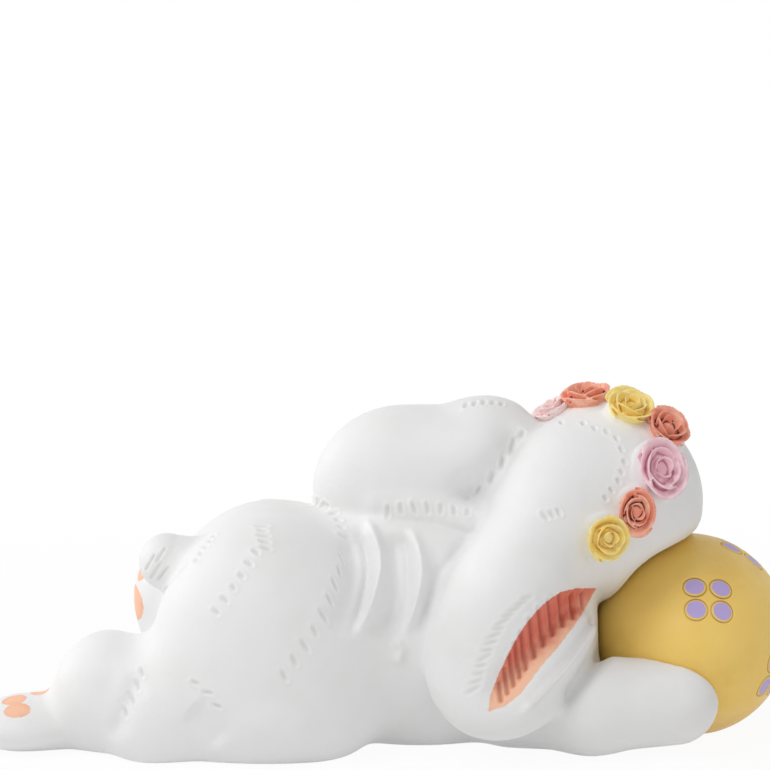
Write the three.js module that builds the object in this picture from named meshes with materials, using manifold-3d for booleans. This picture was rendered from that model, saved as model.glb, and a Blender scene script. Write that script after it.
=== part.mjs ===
// Sleeping hare figurine: a lop-eared hare that lies on its belly, hugs an egg and wears a crown of roses.
//
// The ornament is slip-cast in separate moulds and stuck together with slip before it is fired.
// Trunk, head and egg are hollow castings with a vent. Ears, legs, tail, crown band and roses are solid.
// Units are millimetres, +Z is up, +X runs from the feet to the egg, and the hare's right side faces -Y.

import * as THREE from 'three';
import { mergeVertices } from 'three/addons/utils/BufferGeometryUtils.js';
import Module from 'manifold-3d';

const wasm = await Module();
wasm.setup();

// Casting and joining
const WALL = 4.5; // thickness of the hollow castings
const SLIP_GAP = 0.3; // joint between two castings
const VENT_RADIUS = 4; // firing vents under the trunk and the egg
const NECK_RADIUS = 9; // spigot under the head
const NECK_BORE = 5; // radius of the air passage through the spigot
const NECK_DEPTH = 9; // how far the spigot enters the trunk

// Trunk: three rounded masses in a row, and the thighs. Lengths and widths are half of the whole.
const RUMP_LENGTH = 30;
const RUMP_WIDTH = 35;
const RUMP_HEIGHT = 63;
const RUMP_OFFSET = 8; // the rump lies this far to the hare's right of the egg
const BELLY_LENGTH = 42;
const BELLY_WIDTH = 31;
const BELLY_HEIGHT = 66;
const BELLY_REACH = 38; // rump to belly
const SHOULDER_LENGTH = 25;
const SHOULDER_WIDTH = 29;
const SHOULDER_HEIGHT = 68;
const SHOULDER_REACH = 30; // belly to shoulders
const THIGH_LENGTH = 29;
const THIGH_WIDTH = 21;
const THIGH_HEIGHT = 62;
const THIGH_SPREAD = 18; // middle of the rump to the middle of a thigh
const SHIN_RADIUS = 14; // the folded lower leg under a thigh
const SHIN_LENGTH = 32;
const LEG_SINK = 2; // thighs and shins run this far below the ground, and are ground off with it
const HIP_BACK = 2.4; // middle of a thigh behind the middle of the rump
const HOCK_BACK = 23.2; // back end of a shin behind the middle of the rump
const LOBE_RADIUS = 11; // round lobe of flesh outside the right hock
const LOBE_BACK = 9; // its middle behind the hock
const LOBE_OUT = 5; // and out from it
const LOBE_RISE = 9; // its middle above the ground
const BASE_GRIND = 5; // depth ground off to make the trunk's flat base
const FOLD_RADIUS = 4; // skin folds at the waist
const FOLD_LENGTH = 32;
const FOLD_SPACING = 11;
const FOLD_RISE = 23; // top of a fold above the middle of the belly
const FOLD_BACK = 12; // first fold behind the middle of the belly
const FOLD_BOW = 4; // how far a fold bulges towards the head

// Egg, with its long axis across the hare
const EGG_RADIUS = 27;
const EGG_LENGTH = 64;
const EGG_BLUNTNESS = 0.1; // how much fuller the far end is than the near one
const EGG_FOOT = 1.2; // depth of the flat ground under the egg
const CHEST_NESTLE = 9; // how far the egg sits into the chest

// Head, turned away from the hare's right, nose a little down, rolled onto the right cheek
const HEAD_RADIUS = 26;
const MUZZLE_RADIUS = 12.5;
const MUZZLE_REACH = 19;
const MUZZLE_DROP = 7;
const CHEEK_RADIUS = 15;
const CHEEK_REACH = 8;
const CHEEK_SPREAD = 9;
const CHEEK_DROP = 8;
const CHEEK_PRESS = 8; // how deep the cheek sinks against the egg
const CHEEK_FLAT = 20; // middle of the head to the flat that the egg presses into the right cheek
const HEAD_TURN = 37; // degrees
const HEAD_NOD = 3;
const HEAD_ROLL = 48;

// Ears
const EAR_SEAT = 5; // how deep an ear's root lies under the back of the head
const EAR_SPREAD = 22.5; // degrees from the back of the head to an ear's root
const EAR_TUCK = 4; // how far an ear's stem goes on past its root
const HANGING_EAR_LENGTH = 58; // the right ear, from root to tip
const HANGING_EAR_WIDTH = 42;
const HANGING_EAR_THICKNESS = 22;
const HANGING_EAR_DROP = 6; // the lobe's middle below the ear's middle
const EAR_STEM_RADIUS = 15;
const EAR_STEM_BACK = 9; // how far the stem leans away from the open rim
const EAR_STEM_IN = 6; // how far it leans towards the body
const EAR_FOLD_RADIUS = 15; // the thick fold where the right ear turns down
const EAR_FOLD_TAPER = 4; // how much thinner it is at its top
const EAR_FOLD_LENGTH = 17; // from its bend down
const EAR_FOLD_BACK = 7; // its bend behind the ear's root
const EAR_FOLD_OUT = 5; // and out from it
const EAR_FOLD_RISE = 13; // its top above the ear's root
const EAR_FOLD_IN = 7; // and in from it
const EAR_CUP_RADIUS = 7; // hollow of the open inner face
const EAR_CUP_SHIFT = 2; // its lower end from the ear's middle line
const EAR_CUP_SLANT = 14; // how far it leans out to the rim on its way up
const EAR_CUP_LOW = 20; // its lower end below the ear's middle
const EAR_CUP_HIGH = 14.5; // its upper end above the ear's middle
const RESTING_EAR_LENGTH = 60; // the left ear, spread over the back
const RESTING_EAR_WIDTH = 33;
const RESTING_EAR_THICKNESS = 29.4;
const RESTING_EAR_LOBE = 22.5; // half of a lobe along the ear
const RESTING_EAR_ROLL = 4; // degrees that its rim dips on the right
const RESTING_EAR_SIDE = 12; // its root farther to the left than the other ear's
const RESTING_EAR_LIFT = 4; // and higher
const RESTING_EAR_FALL = 3; // its tip below its root
const RESTING_EAR_STEP = 6; // its two lobes overlap by this much less than a full round
const RESTING_EAR_TAPER = 3;
const DOME_GROW = 2; // how much longer the lobe at its tip is
const DOME_SINK = 6; // and how much lower it lies
const DOME_HEIGHT = 23; // its middle to its top

// Legs and tail
const FORELEG_RADIUS = 12.5;
const FORELEG_LENGTH = 54;
const FORELEG_PRESS = 11; // how far a foreleg sits into the egg's end
const FORELEG_TAPER = 1.6;
const PAW_LENGTH = 22; // wrist to the middle of the paw
const PAW_BACK = 6.6; // middle of a paw behind the middle of the egg
const PAW_TURN = 4.7; // how far a paw turns in
const ELBOW_TUCK = 3.4; // how far an elbow is tucked in
const FOOT_LENGTH = 46;
const FOOT_WIDTH = 28;
const FOOT_TURN = 2; // how far the stretched foot turns in
const ANKLE_TUCK = 3;
const ANKLE_RISE = 2;
const HEEL_HEIGHT = 32;
const TOE_HEIGHT = 15;
const RAISED_FOOT_LENGTH = 36;
const RAISED_FOOT_WIDTH = 26;
const RAISED_FOOT_THICKNESS = 18;
const RAISED_FOOT_TAPER = 2; // how much narrower its heel is on either side
const RAISED_FOOT_SPREAD = 24; // middle of the rump to the raised foot
const TAIL_LENGTH = 25.5;
const TAIL_RADIUS = 9.5;
const TAIL_TIP_RADIUS = 8;
const TAIL_BACK = 23.5; // root behind the middle of the rump
const TAIL_RISE = 16.8; // root above the middle of the rump
const TAIL_SIDE = 2;
const TAIL_FALL = 4; // degrees

// Crown of roses
const CROWN_TILT = 45; // degrees back from the top of the head
const CROWN_LEAN = 8; // degrees over to the left
const CROWN_SPREAD = 50; // degrees between the crown's axis and its band
const BAND_WIDTH = 12;
const BAND_THICKNESS = 1.6;
const BAND_END = 110; // degrees from the front of the crown to either end of the band
const ROSE_RADIUS = 5.4;
const ROSE_HEIGHT = 5;
const ROSE_SEAT = 1; // how far a rose's foot is pressed over the curved band
const PETALS = 5;
const PETAL_WAVE = 0.06; // swell of a petal as a part of the rose's radius
const TWIST = 5; // radians by which the petals' swell turns from foot to heart

// Softness of the places where masses run together
const FLESH_BLEND = 9;
const LEG_BLEND = 16;
const CREASE_BLEND = 4;

// Facets round a trunk, a head or egg, a limb and a rose
const TRUNK_FACETS = 38;
const ROUND_FACETS = 28;
const LIMB_FACETS = 18;
const ROSE_FACETS = 15;

const radians = THREE.MathUtils.degToRad;
const vector = (x, y, z) => new THREE.Vector3(x, y, z);

// Forms. A form gives the distance from a point to a rounded mass of clay, below zero inside it.

function ball(centre, rx, ry, rz) {
  return (p) => {
    const x = p.x - centre.x;
    const y = p.y - centre.y;
    const z = p.z - centre.z;
    const near = Math.hypot(x / rx, y / ry, z / rz);
    const slope = Math.hypot(x / (rx * rx), y / (ry * ry), z / (rz * rz));
    return slope > 0 ? (near * (near - 1)) / slope : -Math.min(rx, ry, rz);
  };
}

function limb(from, to, fromRadius, toRadius) {
  const along = to.clone().sub(from);
  const reach = along.lengthSq();
  const offset = new THREE.Vector3();
  return (p) => {
    const t = THREE.MathUtils.clamp(offset.copy(p).sub(from).dot(along) / reach, 0, 1);
    return offset.addScaledVector(along, -t).length() - THREE.MathUtils.lerp(fromRadius, toRadius, t);
  };
}

function placed(form, place) {
  const back = place.clone().invert();
  const local = new THREE.Vector3();
  return (p) => form(local.copy(p).applyMatrix4(back));
}

function soften(a, b, softness) {
  const overlap = Math.max(softness - Math.abs(a - b), 0) / softness;
  return Math.min(a, b) - (overlap * overlap * softness) / 4;
}

function blend(softness, first, ...rest) {
  return (p) => rest.reduce((sum, form) => soften(sum, form(p), softness), first(p));
}

const flat = (at, way) => (p) => way.x * (p.x - at.x) + way.y * (p.y - at.y) + way.z * (p.z - at.z);
const carve = (softness, form, tool) => (p) => -soften(-form(p), tool(p), softness);
const clearOf = (form, ...others) => (p) => Math.max(form(p), ...others.map((other) => SLIP_GAP - other(p)));

// Skins. A capsule round an axis is drawn in along its own rays until it lies on the form.

const FAR = 150;
const CLOSE = 0.002;
const STRIDE = 0.8;

function drawIn(form, anchor, ray, level) {
  const p = new THREE.Vector3();
  let t = FAR;
  let gap = FAR;
  while (gap > CLOSE && t > 0) {
    gap = form(p.copy(ray).multiplyScalar(t).add(anchor)) - level;
    t -= Math.max(gap, CLOSE) * STRIDE;
  }
  return p.copy(ray).multiplyScalar(Math.max(t, CLOSE)).add(anchor);
}

function wrap(form, { from, to, facets, rings, cap }, level = 0) {
  const length = from.distanceTo(to);
  const skin = new THREE.CapsuleGeometry(1, length, cap, facets, rings);
  const turn = new THREE.Quaternion().setFromUnitVectors(vector(0, 1, 0), to.clone().sub(from).normalize());
  const place = skin.getAttribute('position');
  for (let i = 0; i < place.count; i += 1) {
    const onAxis = THREE.MathUtils.clamp(place.getY(i), -length / 2, length / 2);
    const anchor = from.clone().lerp(to, onAxis / length + 0.5);
    const ray = vector(place.getX(i), place.getY(i) - onAxis, place.getZ(i));
    ray.normalize().applyQuaternion(turn);
    const { x, y, z } = drawIn(form, anchor, ray, level);
    place.setXYZ(i, x, y, z);
  }
  return solid(skin);
}

// Solids. Closed meshes are joined and cut.

function solid(geometry) {
  const bare = new THREE.BufferGeometry();
  bare.setAttribute('position', geometry.getAttribute('position'));
  bare.setIndex(geometry.index);
  const merged = mergeVertices(bare);
  const corners = merged.index.array;
  const faces = [];
  for (let i = 0; i < corners.length; i += 3) {
    const [a, b, c] = corners.slice(i, i + 3);
    if (a !== b && b !== c && c !== a) faces.push(a, b, c);
  }
  const vertProperties = new Float32Array(merged.getAttribute('position').array);
  return new wasm.Manifold(new wasm.Mesh({ numProp: 3, vertProperties, triVerts: new Uint32Array(faces) }));
}

function rod(from, to, radius) {
  const along = to.clone().sub(from);
  const middle = from.clone().lerp(to, 0.5);
  const geometry = new THREE.CylinderGeometry(radius, radius, along.length(), LIMB_FACETS);
  geometry.applyQuaternion(new THREE.Quaternion().setFromUnitVectors(vector(0, 1, 0), along.normalize()));
  return solid(geometry.translate(middle.x, middle.y, middle.z));
}

function upTo(height) {
  const block = new THREE.BoxGeometry(4 * FAR, 4 * FAR, FAR);
  return solid(block.translate(0, 0, height - FAR / 2));
}

const ground = upTo(0);

function seated(piece, ...cutters) {
  return cutters.reduce((rest, cutter) => rest.subtract(cutter), piece.subtract(ground));
}

// Colours
const fired = (color, roughness) => new THREE.MeshStandardMaterial({ color, roughness, metalness: 0 });
const white = fired(0xf1f0ee, 0.62);
const eggYellow = fired(0xdcb768, 0.5);
const coral = fired(0xd8705a, 0.7);
const yellow = fired(0xe6c25a, 0.7);
const lilac = fired(0xd2a0c0, 0.7);
const pink = fired(0xeeb4b8, 0.7);

// Layout
const middleOf = (height) => (height - BASE_GRIND) / 2; // a mass of the trunk goes on below the ground
const rump = vector(0, -RUMP_OFFSET, middleOf(RUMP_HEIGHT));
const belly = vector(BELLY_REACH, -RUMP_OFFSET / 2, middleOf(BELLY_HEIGHT));
const shoulder = vector(BELLY_REACH + SHOULDER_REACH, -RUMP_OFFSET / 2, middleOf(SHOULDER_HEIGHT));
const egg = vector(shoulder.x + SHOULDER_LENGTH - CHEST_NESTLE + EGG_RADIUS, 0, EGG_RADIUS - EGG_FOOT);
const headLean = vector(-0.52, -0.11, 0.85).normalize(); // from the egg towards the head
const head = egg.clone().addScaledVector(headLean, EGG_RADIUS + HEAD_RADIUS - CHEEK_PRESS);
const turned = (x, y, z) => new THREE.Matrix4().makeRotationFromEuler(
  new THREE.Euler(radians(x), radians(y), radians(z), 'ZYX'),
);
const headPlace = turned(HEAD_ROLL, HEAD_NOD, HEAD_TURN).setPosition(head);
const onHead = (x, y, z) => vector(x, y, z).applyMatrix4(headPlace);

// Trunk, with the thighs and the two skin folds on its right side
const hip = (side) => vector(-HIP_BACK, rump.y + side * THIGH_SPREAD, THIGH_HEIGHT / 2 - LEG_SINK);
const hock = (side) => vector(-HOCK_BACK, rump.y + side * THIGH_SPREAD, SHIN_RADIUS - LEG_SINK);

function thighForm(side) {
  const knee = hock(side).add(vector(SHIN_LENGTH, 0, 0));
  const thigh = ball(hip(side), THIGH_LENGTH, THIGH_WIDTH, THIGH_HEIGHT / 2);
  return blend(LEG_BLEND, thigh, limb(knee, hock(side), SHIN_RADIUS, SHIN_RADIUS));
}

const bareTrunk = blend(
  FLESH_BLEND,
  ball(rump, RUMP_LENGTH, RUMP_WIDTH, RUMP_HEIGHT - rump.z),
  ball(belly, BELLY_LENGTH, BELLY_WIDTH, BELLY_HEIGHT - belly.z),
  ball(shoulder, SHOULDER_LENGTH, SHOULDER_WIDTH, SHOULDER_HEIGHT - shoulder.z),
  thighForm(-1),
  thighForm(1),
  ball(
    vector(hock(-1).x - LOBE_BACK, hock(-1).y - LOBE_OUT, LOBE_RISE),
    LOBE_RADIUS,
    LOBE_RADIUS,
    LOBE_RISE + LEG_SINK * 2,
  ),
);

function foldForm(step) {
  const axis = belly.clone().add(vector(FOLD_SPACING * step - FOLD_BACK, 0, 0));
  const onSide = (x, up) => {
    const anchor = axis.clone().add(vector(x, 0, up));
    return drawIn(bareTrunk, anchor, vector(0, -1, 0), -FOLD_RADIUS / 2);
  };
  const top = onSide(-FOLD_BOW, FOLD_RISE);
  const bulge = onSide(0, FOLD_RISE - FOLD_LENGTH / 2);
  const foot = onSide(-FOLD_BOW, FOLD_RISE - FOLD_LENGTH);
  const upper = limb(top, bulge, FOLD_RADIUS / 2, FOLD_RADIUS);
  const lower = limb(bulge, foot, FOLD_RADIUS, FOLD_RADIUS / 4);
  return blend(CREASE_BLEND, upper, lower);
}

const trunkForm = blend(CREASE_BLEND, bareTrunk, foldForm(0), foldForm(1));
const trunkAxis = { from: rump, to: shoulder, facets: TRUNK_FACETS, rings: 26, cap: 7 };
const hollowAxis = { from: rump, to: shoulder, facets: LIMB_FACETS, rings: 8, cap: 4 };
const trunkCutter = wrap(trunkForm, trunkAxis, SLIP_GAP);

// Egg
const EGG_RINGS = 14;
const eggForm = ball(egg, EGG_RADIUS, EGG_LENGTH / 2, EGG_RADIUS);

function eggSkin(grow) {
  const points = [];
  for (let i = 0; i <= EGG_RINGS; i += 1) {
    const t = (Math.PI * i) / EGG_RINGS;
    const across = (EGG_RADIUS + grow) * Math.sin(t) * (1 - EGG_BLUNTNESS * Math.cos(t));
    const onAxis = i % EGG_RINGS === 0;
    points.push(new THREE.Vector2(onAxis ? 0 : across, -(EGG_LENGTH / 2 + grow) * Math.cos(t)));
  }
  return solid(new THREE.LatheGeometry(points, ROUND_FACETS).translate(egg.x, egg.y, egg.z));
}

const ventUnder = (mass) => rod(vector(mass.x, mass.y, -WALL), mass, VENT_RADIUS);
const eggCutter = eggSkin(SLIP_GAP);
const eggShell = seated(eggSkin(0), eggSkin(-WALL), ventUnder(egg));

// Head, with a neck spigot that enters the trunk
const round = (x, y, z, radius) => ball(vector(x, y, z), radius, radius, radius);
const skull = round(0, 0, 0, HEAD_RADIUS);
const muzzle = round(MUZZLE_REACH, 0, -MUZZLE_DROP, MUZZLE_RADIUS);
const cheek = (side) => round(CHEEK_REACH, side * CHEEK_SPREAD, -CHEEK_DROP, CHEEK_RADIUS);
const cheekWay = vector(0.617, -0.107, -0.78).normalize(); // from the head to the egg's near side
const cheekFlat = flat(head.clone().addScaledVector(cheekWay, CHEEK_FLAT), cheekWay.clone().negate());
const wholeHead = placed(blend(FLESH_BLEND, skull, muzzle, cheek(-1), cheek(1)), headPlace);
const headForm = carve(CREASE_BLEND, wholeHead, cheekFlat);
const headBack = onHead(-CHEEK_REACH, 0, 0);
const headFront = onHead(CHEEK_REACH, 0, 0);
const headAxis = { from: headBack, to: headFront, facets: ROUND_FACETS, rings: 3, cap: 8 };
const headHollowAxis = { ...headAxis, facets: LIMB_FACETS, cap: 4 };
const headCutter = wrap(headForm, headAxis, SLIP_GAP);

const neckWay = shoulder.clone().sub(head).normalize();
const neckSeat = drawIn(trunkForm, shoulder, neckWay.clone().negate(), 0);
const alongNeck = (reach) => neckSeat.clone().addScaledVector(neckWay, reach);
const neckSpigot = rod(alongNeck(-WALL), alongNeck(NECK_DEPTH), NECK_RADIUS);
const neckBore = rod(head, alongNeck(NECK_DEPTH + WALL), NECK_BORE);
const neckHole = rod(alongNeck(-WALL), alongNeck(NECK_DEPTH + SLIP_GAP), NECK_RADIUS + SLIP_GAP);

const headHollow = wrap(clearOf(headForm, trunkForm, eggForm), headHollowAxis, -WALL);
const headShell = wrap(headForm, headAxis)
  .subtract(trunkCutter)
  .subtract(eggCutter)
  .subtract(headHollow)
  .add(neckSpigot)
  .subtract(neckBore);

const trunkHollow = wrap(clearOf(trunkForm, eggForm), hollowAxis, -WALL).subtract(upTo(WALL));
const trunkShell = seated(wrap(trunkForm, trunkAxis), eggCutter, trunkHollow, ventUnder(belly), neckHole);

// Ears. An ear's z runs from tip to root, its x to the open rim, and its -y is the face that shows.
function earPlace(root, tip, rim) {
  const z = root.clone().sub(tip).normalize();
  const x = rim.clone().addScaledVector(z, -rim.dot(z)).normalize();
  const y = z.clone().cross(x);
  return new THREE.Matrix4().makeBasis(x, y, z).setPosition(root.clone().lerp(tip, 0.5));
}

function earAxis(place, length) {
  const from = vector(0, 0, -length / 4).applyMatrix4(place);
  const to = vector(0, 0, length / 2).applyMatrix4(place);
  return { from, to, facets: LIMB_FACETS + 2, rings: 10, cap: 6 };
}

function earRoot(side) {
  const spread = radians(EAR_SPREAD);
  const reach = HEAD_RADIUS - EAR_SEAT;
  return onHead(-Math.cos(spread) * reach, side * Math.sin(spread) * reach, 0);
}

// The right ear hangs down, out from the body and back
const hangingWay = vector(-0.42, -0.36, -0.83).normalize();
const hangingTip = earRoot(-1).addScaledVector(hangingWay, HANGING_EAR_LENGTH);
const hangingPlace = earPlace(earRoot(-1), hangingTip, vector(1, 0, 0));

function hangingEar() {
  const half = HANGING_EAR_LENGTH / 2;
  const wide = HANGING_EAR_WIDTH / 2;
  const thick = HANGING_EAR_THICKNESS / 2;
  const lobe = ball(vector(0, 0, -HANGING_EAR_DROP), wide, thick, half - EAR_TUCK);
  const stemFoot = vector(-EAR_STEM_BACK / 2, 0, 0);
  const stemTop = vector(-EAR_STEM_BACK, EAR_STEM_IN, half + EAR_TUCK);
  const stem = limb(stemFoot, stemTop, EAR_STEM_RADIUS, thick);
  const face = -thick - EAR_CUP_RADIUS / 2;
  const cupFoot = vector(EAR_CUP_SHIFT, face, -EAR_CUP_LOW);
  const cupTop = vector(EAR_CUP_SHIFT + EAR_CUP_SLANT, face, EAR_CUP_HIGH);
  const cup = limb(cupFoot, cupTop, EAR_CUP_RADIUS, EAR_CUP_RADIUS);
  const foldTop = earRoot(-1).add(vector(0, EAR_FOLD_IN, EAR_FOLD_RISE));
  const bend = earRoot(-1).add(vector(-EAR_FOLD_BACK, -EAR_FOLD_OUT, 0));
  const foldFoot = bend.clone().addScaledVector(hangingWay, EAR_FOLD_LENGTH);
  const upper = limb(foldTop, bend, EAR_FOLD_RADIUS - EAR_FOLD_TAPER, EAR_FOLD_RADIUS);
  const lower = limb(bend, foldFoot, EAR_FOLD_RADIUS, EAR_FOLD_RADIUS);
  const flesh = blend(FLESH_BLEND, placed(blend(FLESH_BLEND, lobe, stem), hangingPlace), upper, lower);
  return carve(CREASE_BLEND, flesh, placed(cup, hangingPlace));
}

const restingRim = vector(0, -Math.cos(radians(RESTING_EAR_ROLL)), -Math.sin(radians(RESTING_EAR_ROLL)));
const restingRoot = earRoot(1).add(vector(0, RESTING_EAR_SIDE, RESTING_EAR_LIFT));
const restingTip = restingRoot.clone().add(vector(-RESTING_EAR_LENGTH, 0, -RESTING_EAR_FALL));
const restingPlace = earPlace(restingRoot, restingTip, restingRim);

function restingEar() {
  const half = RESTING_EAR_LENGTH / 2;
  const wide = RESTING_EAR_WIDTH / 2;
  const thick = RESTING_EAR_THICKNESS / 2;
  const lobe = RESTING_EAR_LOBE;
  const domeCentre = restingTip.clone().add(vector(lobe + DOME_GROW, 0, -DOME_SINK));
  const dome = ball(domeCentre, lobe + DOME_GROW, wide, DOME_HEIGHT);
  const middle = ball(vector(0, 0, half - lobe + RESTING_EAR_STEP), wide, thick, lobe);
  const stemTop = vector(0, EAR_STEM_IN, half + EAR_TUCK);
  const stem = limb(vector(0, 0, half / 2), stemTop, thick, thick - RESTING_EAR_TAPER);
  return blend(FLESH_BLEND, dome, placed(blend(FLESH_BLEND, middle, stem), restingPlace));
}

const hangingSkin = (grow) => wrap(hangingEar(), earAxis(hangingPlace, HANGING_EAR_LENGTH), grow);
const restingSkin = (grow) => wrap(restingEar(), earAxis(restingPlace, RESTING_EAR_LENGTH), grow);
const rightEarCutter = hangingSkin(SLIP_GAP);
const leftEarCutter = restingSkin(SLIP_GAP);
const leftEar = seated(restingSkin(0), headCutter, trunkCutter, rightEarCutter);
const rightEar = seated(hangingSkin(0), headCutter, trunkCutter, eggCutter);

// Forelegs that hug the egg
function foreleg(side) {
  const out = EGG_LENGTH / 2 + FORELEG_RADIUS - FORELEG_PRESS;
  const thin = FORELEG_RADIUS - FORELEG_TAPER;
  const paw = vector(egg.x - PAW_BACK, side * (out - PAW_TURN), thin);
  const wrist = vector(paw.x - PAW_LENGTH, side * out, FORELEG_RADIUS);
  const elbowX = paw.x - FORELEG_LENGTH + FORELEG_RADIUS;
  const elbow = vector(elbowX, side * (out - ELBOW_TUCK), FORELEG_RADIUS);
  const upper = limb(elbow, wrist, thin, FORELEG_RADIUS);
  const lower = limb(wrist, paw, FORELEG_RADIUS, thin);
  const axis = { from: elbow, to: paw, facets: LIMB_FACETS, rings: 6, cap: 5 };
  return seated(wrap(blend(FLESH_BLEND, upper, lower), axis), trunkCutter, eggCutter, rightEarCutter);
}

// Hind feet: the right one is stretched out behind, the left one is raised with its sole to the back
function stretchedFoot() {
  const ankle = hock(-1).add(vector(0, ANKLE_TUCK, ANKLE_RISE));
  const alongFoot = (back, height) => vector(ankle.x - back, ankle.y + FOOT_TURN, height / 2);
  const heelCentre = alongFoot(FOOT_LENGTH / 2 - FOOT_TURN, HEEL_HEIGHT);
  const toeCentre = alongFoot(FOOT_LENGTH - FOOT_TURN, TOE_HEIGHT);
  const heel = ball(heelCentre, FOOT_LENGTH / 3, FOOT_WIDTH / 2, HEEL_HEIGHT / 2);
  const toes = ball(toeCentre, FOOT_LENGTH / 3, FOOT_WIDTH / 2, TOE_HEIGHT / 2);
  const shank = limb(heelCentre, ankle, FOOT_WIDTH / 2, FOOT_WIDTH / 2);
  const axis = { from: ankle, to: toeCentre, facets: LIMB_FACETS + 2, rings: 9, cap: 5 };
  return seated(wrap(blend(FLESH_BLEND, heel, toes, shank), axis), trunkCutter);
}

const tailRoot = rump.clone().add(vector(-TAIL_BACK, -TAIL_SIDE, TAIL_RISE));
const tailWay = vector(-Math.cos(radians(TAIL_FALL)), 0, -Math.sin(radians(TAIL_FALL)));
const tailTip = tailRoot.clone().addScaledVector(tailWay, TAIL_LENGTH - TAIL_RADIUS - TAIL_TIP_RADIUS);
const tailForm = limb(tailRoot, tailTip, TAIL_RADIUS, TAIL_TIP_RADIUS);
const tailAxis = { from: tailRoot, to: tailTip, facets: LIMB_FACETS, rings: 3, cap: 4 };
const tailSkin = (grow) => wrap(tailForm, tailAxis, grow);

function raisedFoot() {
  const middle = rump.clone().add(vector(-RUMP_LENGTH, RAISED_FOOT_SPREAD, 0));
  const part = RAISED_FOOT_LENGTH / 6;
  const thick = RAISED_FOOT_THICKNESS / 2;
  const wide = RAISED_FOOT_WIDTH / 2;
  const heel = middle.clone().add(vector(0, 0, -part));
  const toes = middle.clone().add(vector(0, 0, part));
  const heelForm = ball(heel, thick, wide - RAISED_FOOT_TAPER, part * 2);
  const form = blend(FLESH_BLEND, heelForm, ball(toes, thick, wide, part * 2));
  const axis = { from: heel, to: toes, facets: LIMB_FACETS, rings: 4, cap: 4 };
  return seated(wrap(form, axis), trunkCutter, tailSkin(SLIP_GAP));
}

// Crown: a band on the head, and the roses on it
const crownPlace = headPlace.clone().multiply(turned(0, -CROWN_TILT, 0)).multiply(turned(-CROWN_LEAN, 0, 0));

function crownBand() {
  const half = THREE.MathUtils.radToDeg(BAND_WIDTH / 2 / HEAD_RADIUS);
  const edge = (angle, reach) => {
    const turn = radians(angle);
    return new THREE.Vector2(reach * Math.sin(turn), reach * Math.cos(turn));
  };
  const [low, high] = [CROWN_SPREAD + half, CROWN_SPREAD - half];
  const [inner, outer] = [HEAD_RADIUS / 2, HEAD_RADIUS * 2];
  const ring = [edge(low, inner), edge(low, outer), edge(high, outer), edge(high, inner), edge(low, inner)];
  const zone = new THREE.LatheGeometry(ring, ROUND_FACETS * 2).rotateX(Math.PI / 2).applyMatrix4(crownPlace);
  const wedge = new THREE.Shape().moveTo(0, 0);
  [BAND_END, 180, -BAND_END].forEach((azimuth) => {
    wedge.lineTo(2 * outer * Math.cos(radians(azimuth)), 2 * outer * Math.sin(radians(azimuth)));
  });
  const open = new THREE.ExtrudeGeometry(wedge, { depth: outer, bevelEnabled: false });
  open.applyMatrix4(crownPlace);
  const coat = wrap(headForm, headAxis, BAND_THICKNESS).intersect(solid(zone));
  return seated(coat, solid(open), headCutter, rightEarCutter, leftEarCutter);
}

const bandCutter = wrap(headForm, headAxis, BAND_THICKNESS + SLIP_GAP);

// Roses from the right end of the band to the left, with the degrees from the band's front
// and below its middle, and the size beside a common rose
const roses = [
  { name: 'rose_right_yellow', colour: yellow, azimuth: -95, drop: 1, size: 0.95 },
  { name: 'rose_right_coral', colour: coral, azimuth: -69, drop: -1, size: 1 },
  { name: 'rose_lilac', colour: lilac, azimuth: -34, drop: 0, size: 1.35 },
  { name: 'rose_front_coral', colour: coral, azimuth: 2, drop: 4, size: 1 },
  { name: 'rose_left_yellow', colour: yellow, azimuth: 30, drop: -2, size: 1.05 },
  { name: 'rose_left_coral', colour: coral, azimuth: 63, drop: -5, size: 1.2 },
  { name: 'rose_left_pink', colour: pink, azimuth: 97, drop: 4, size: 1 },
];

// A rose's outline from its foot to its heart, as parts of its radius and height: three rims of petals
const ROSE_OUTLINE = [
  [0, 0],
  [0.92, 0],
  [1, 0.35],
  [0.82, 0.75],
  [0.68, 0.5],
  [0.52, 0.92],
  [0.4, 0.66],
  [0.22, 1],
  [0, 0.8],
];

function standing({ azimuth, drop, size }) {
  const way = vector(1, 0, 0).applyAxisAngle(vector(0, 1, 0), radians(CROWN_SPREAD + drop - 90));
  way.applyAxisAngle(vector(0, 0, 1), radians(azimuth)).transformDirection(crownPlace);
  const foot = drawIn(headForm, head, way, BAND_THICKNESS + SLIP_GAP - ROSE_SEAT);
  return { way, foot, radius: ROSE_RADIUS * size };
}

function roseSkin({ way, foot, radius }) {
  const points = ROSE_OUTLINE.map(([across, up]) => new THREE.Vector2(across * radius, up * ROSE_HEIGHT));
  const geometry = new THREE.LatheGeometry(points, ROSE_FACETS).rotateX(Math.PI / 2);
  const place = geometry.getAttribute('position');
  for (let i = 0; i < place.count; i += 1) {
    const turn = Math.atan2(place.getY(i), place.getX(i));
    const wave = 1 + PETAL_WAVE * Math.cos(PETALS * turn + (TWIST * place.getZ(i)) / ROSE_HEIGHT);
    place.setXY(i, place.getX(i) * wave, place.getY(i) * wave);
  }
  const turn = new THREE.Quaternion().setFromUnitVectors(vector(0, 0, 1), way);
  return solid(geometry.applyMatrix4(new THREE.Matrix4().compose(foot, turn, vector(1, 1, 1))));
}

function roseSolid(rose, index) {
  const skin = seated(roseSkin(standing(rose)), bandCutter, rightEarCutter, leftEarCutter);
  if (index === 0) return skin;
  const { way, foot, radius } = standing(roses[index - 1]);
  const below = foot.clone().addScaledVector(way, -ROSE_HEIGHT);
  const above = foot.clone().addScaledVector(way, ROSE_HEIGHT * 2);
  return skin.subtract(rod(below, above, radius * (1 + PETAL_WAVE) + SLIP_GAP));
}

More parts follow.
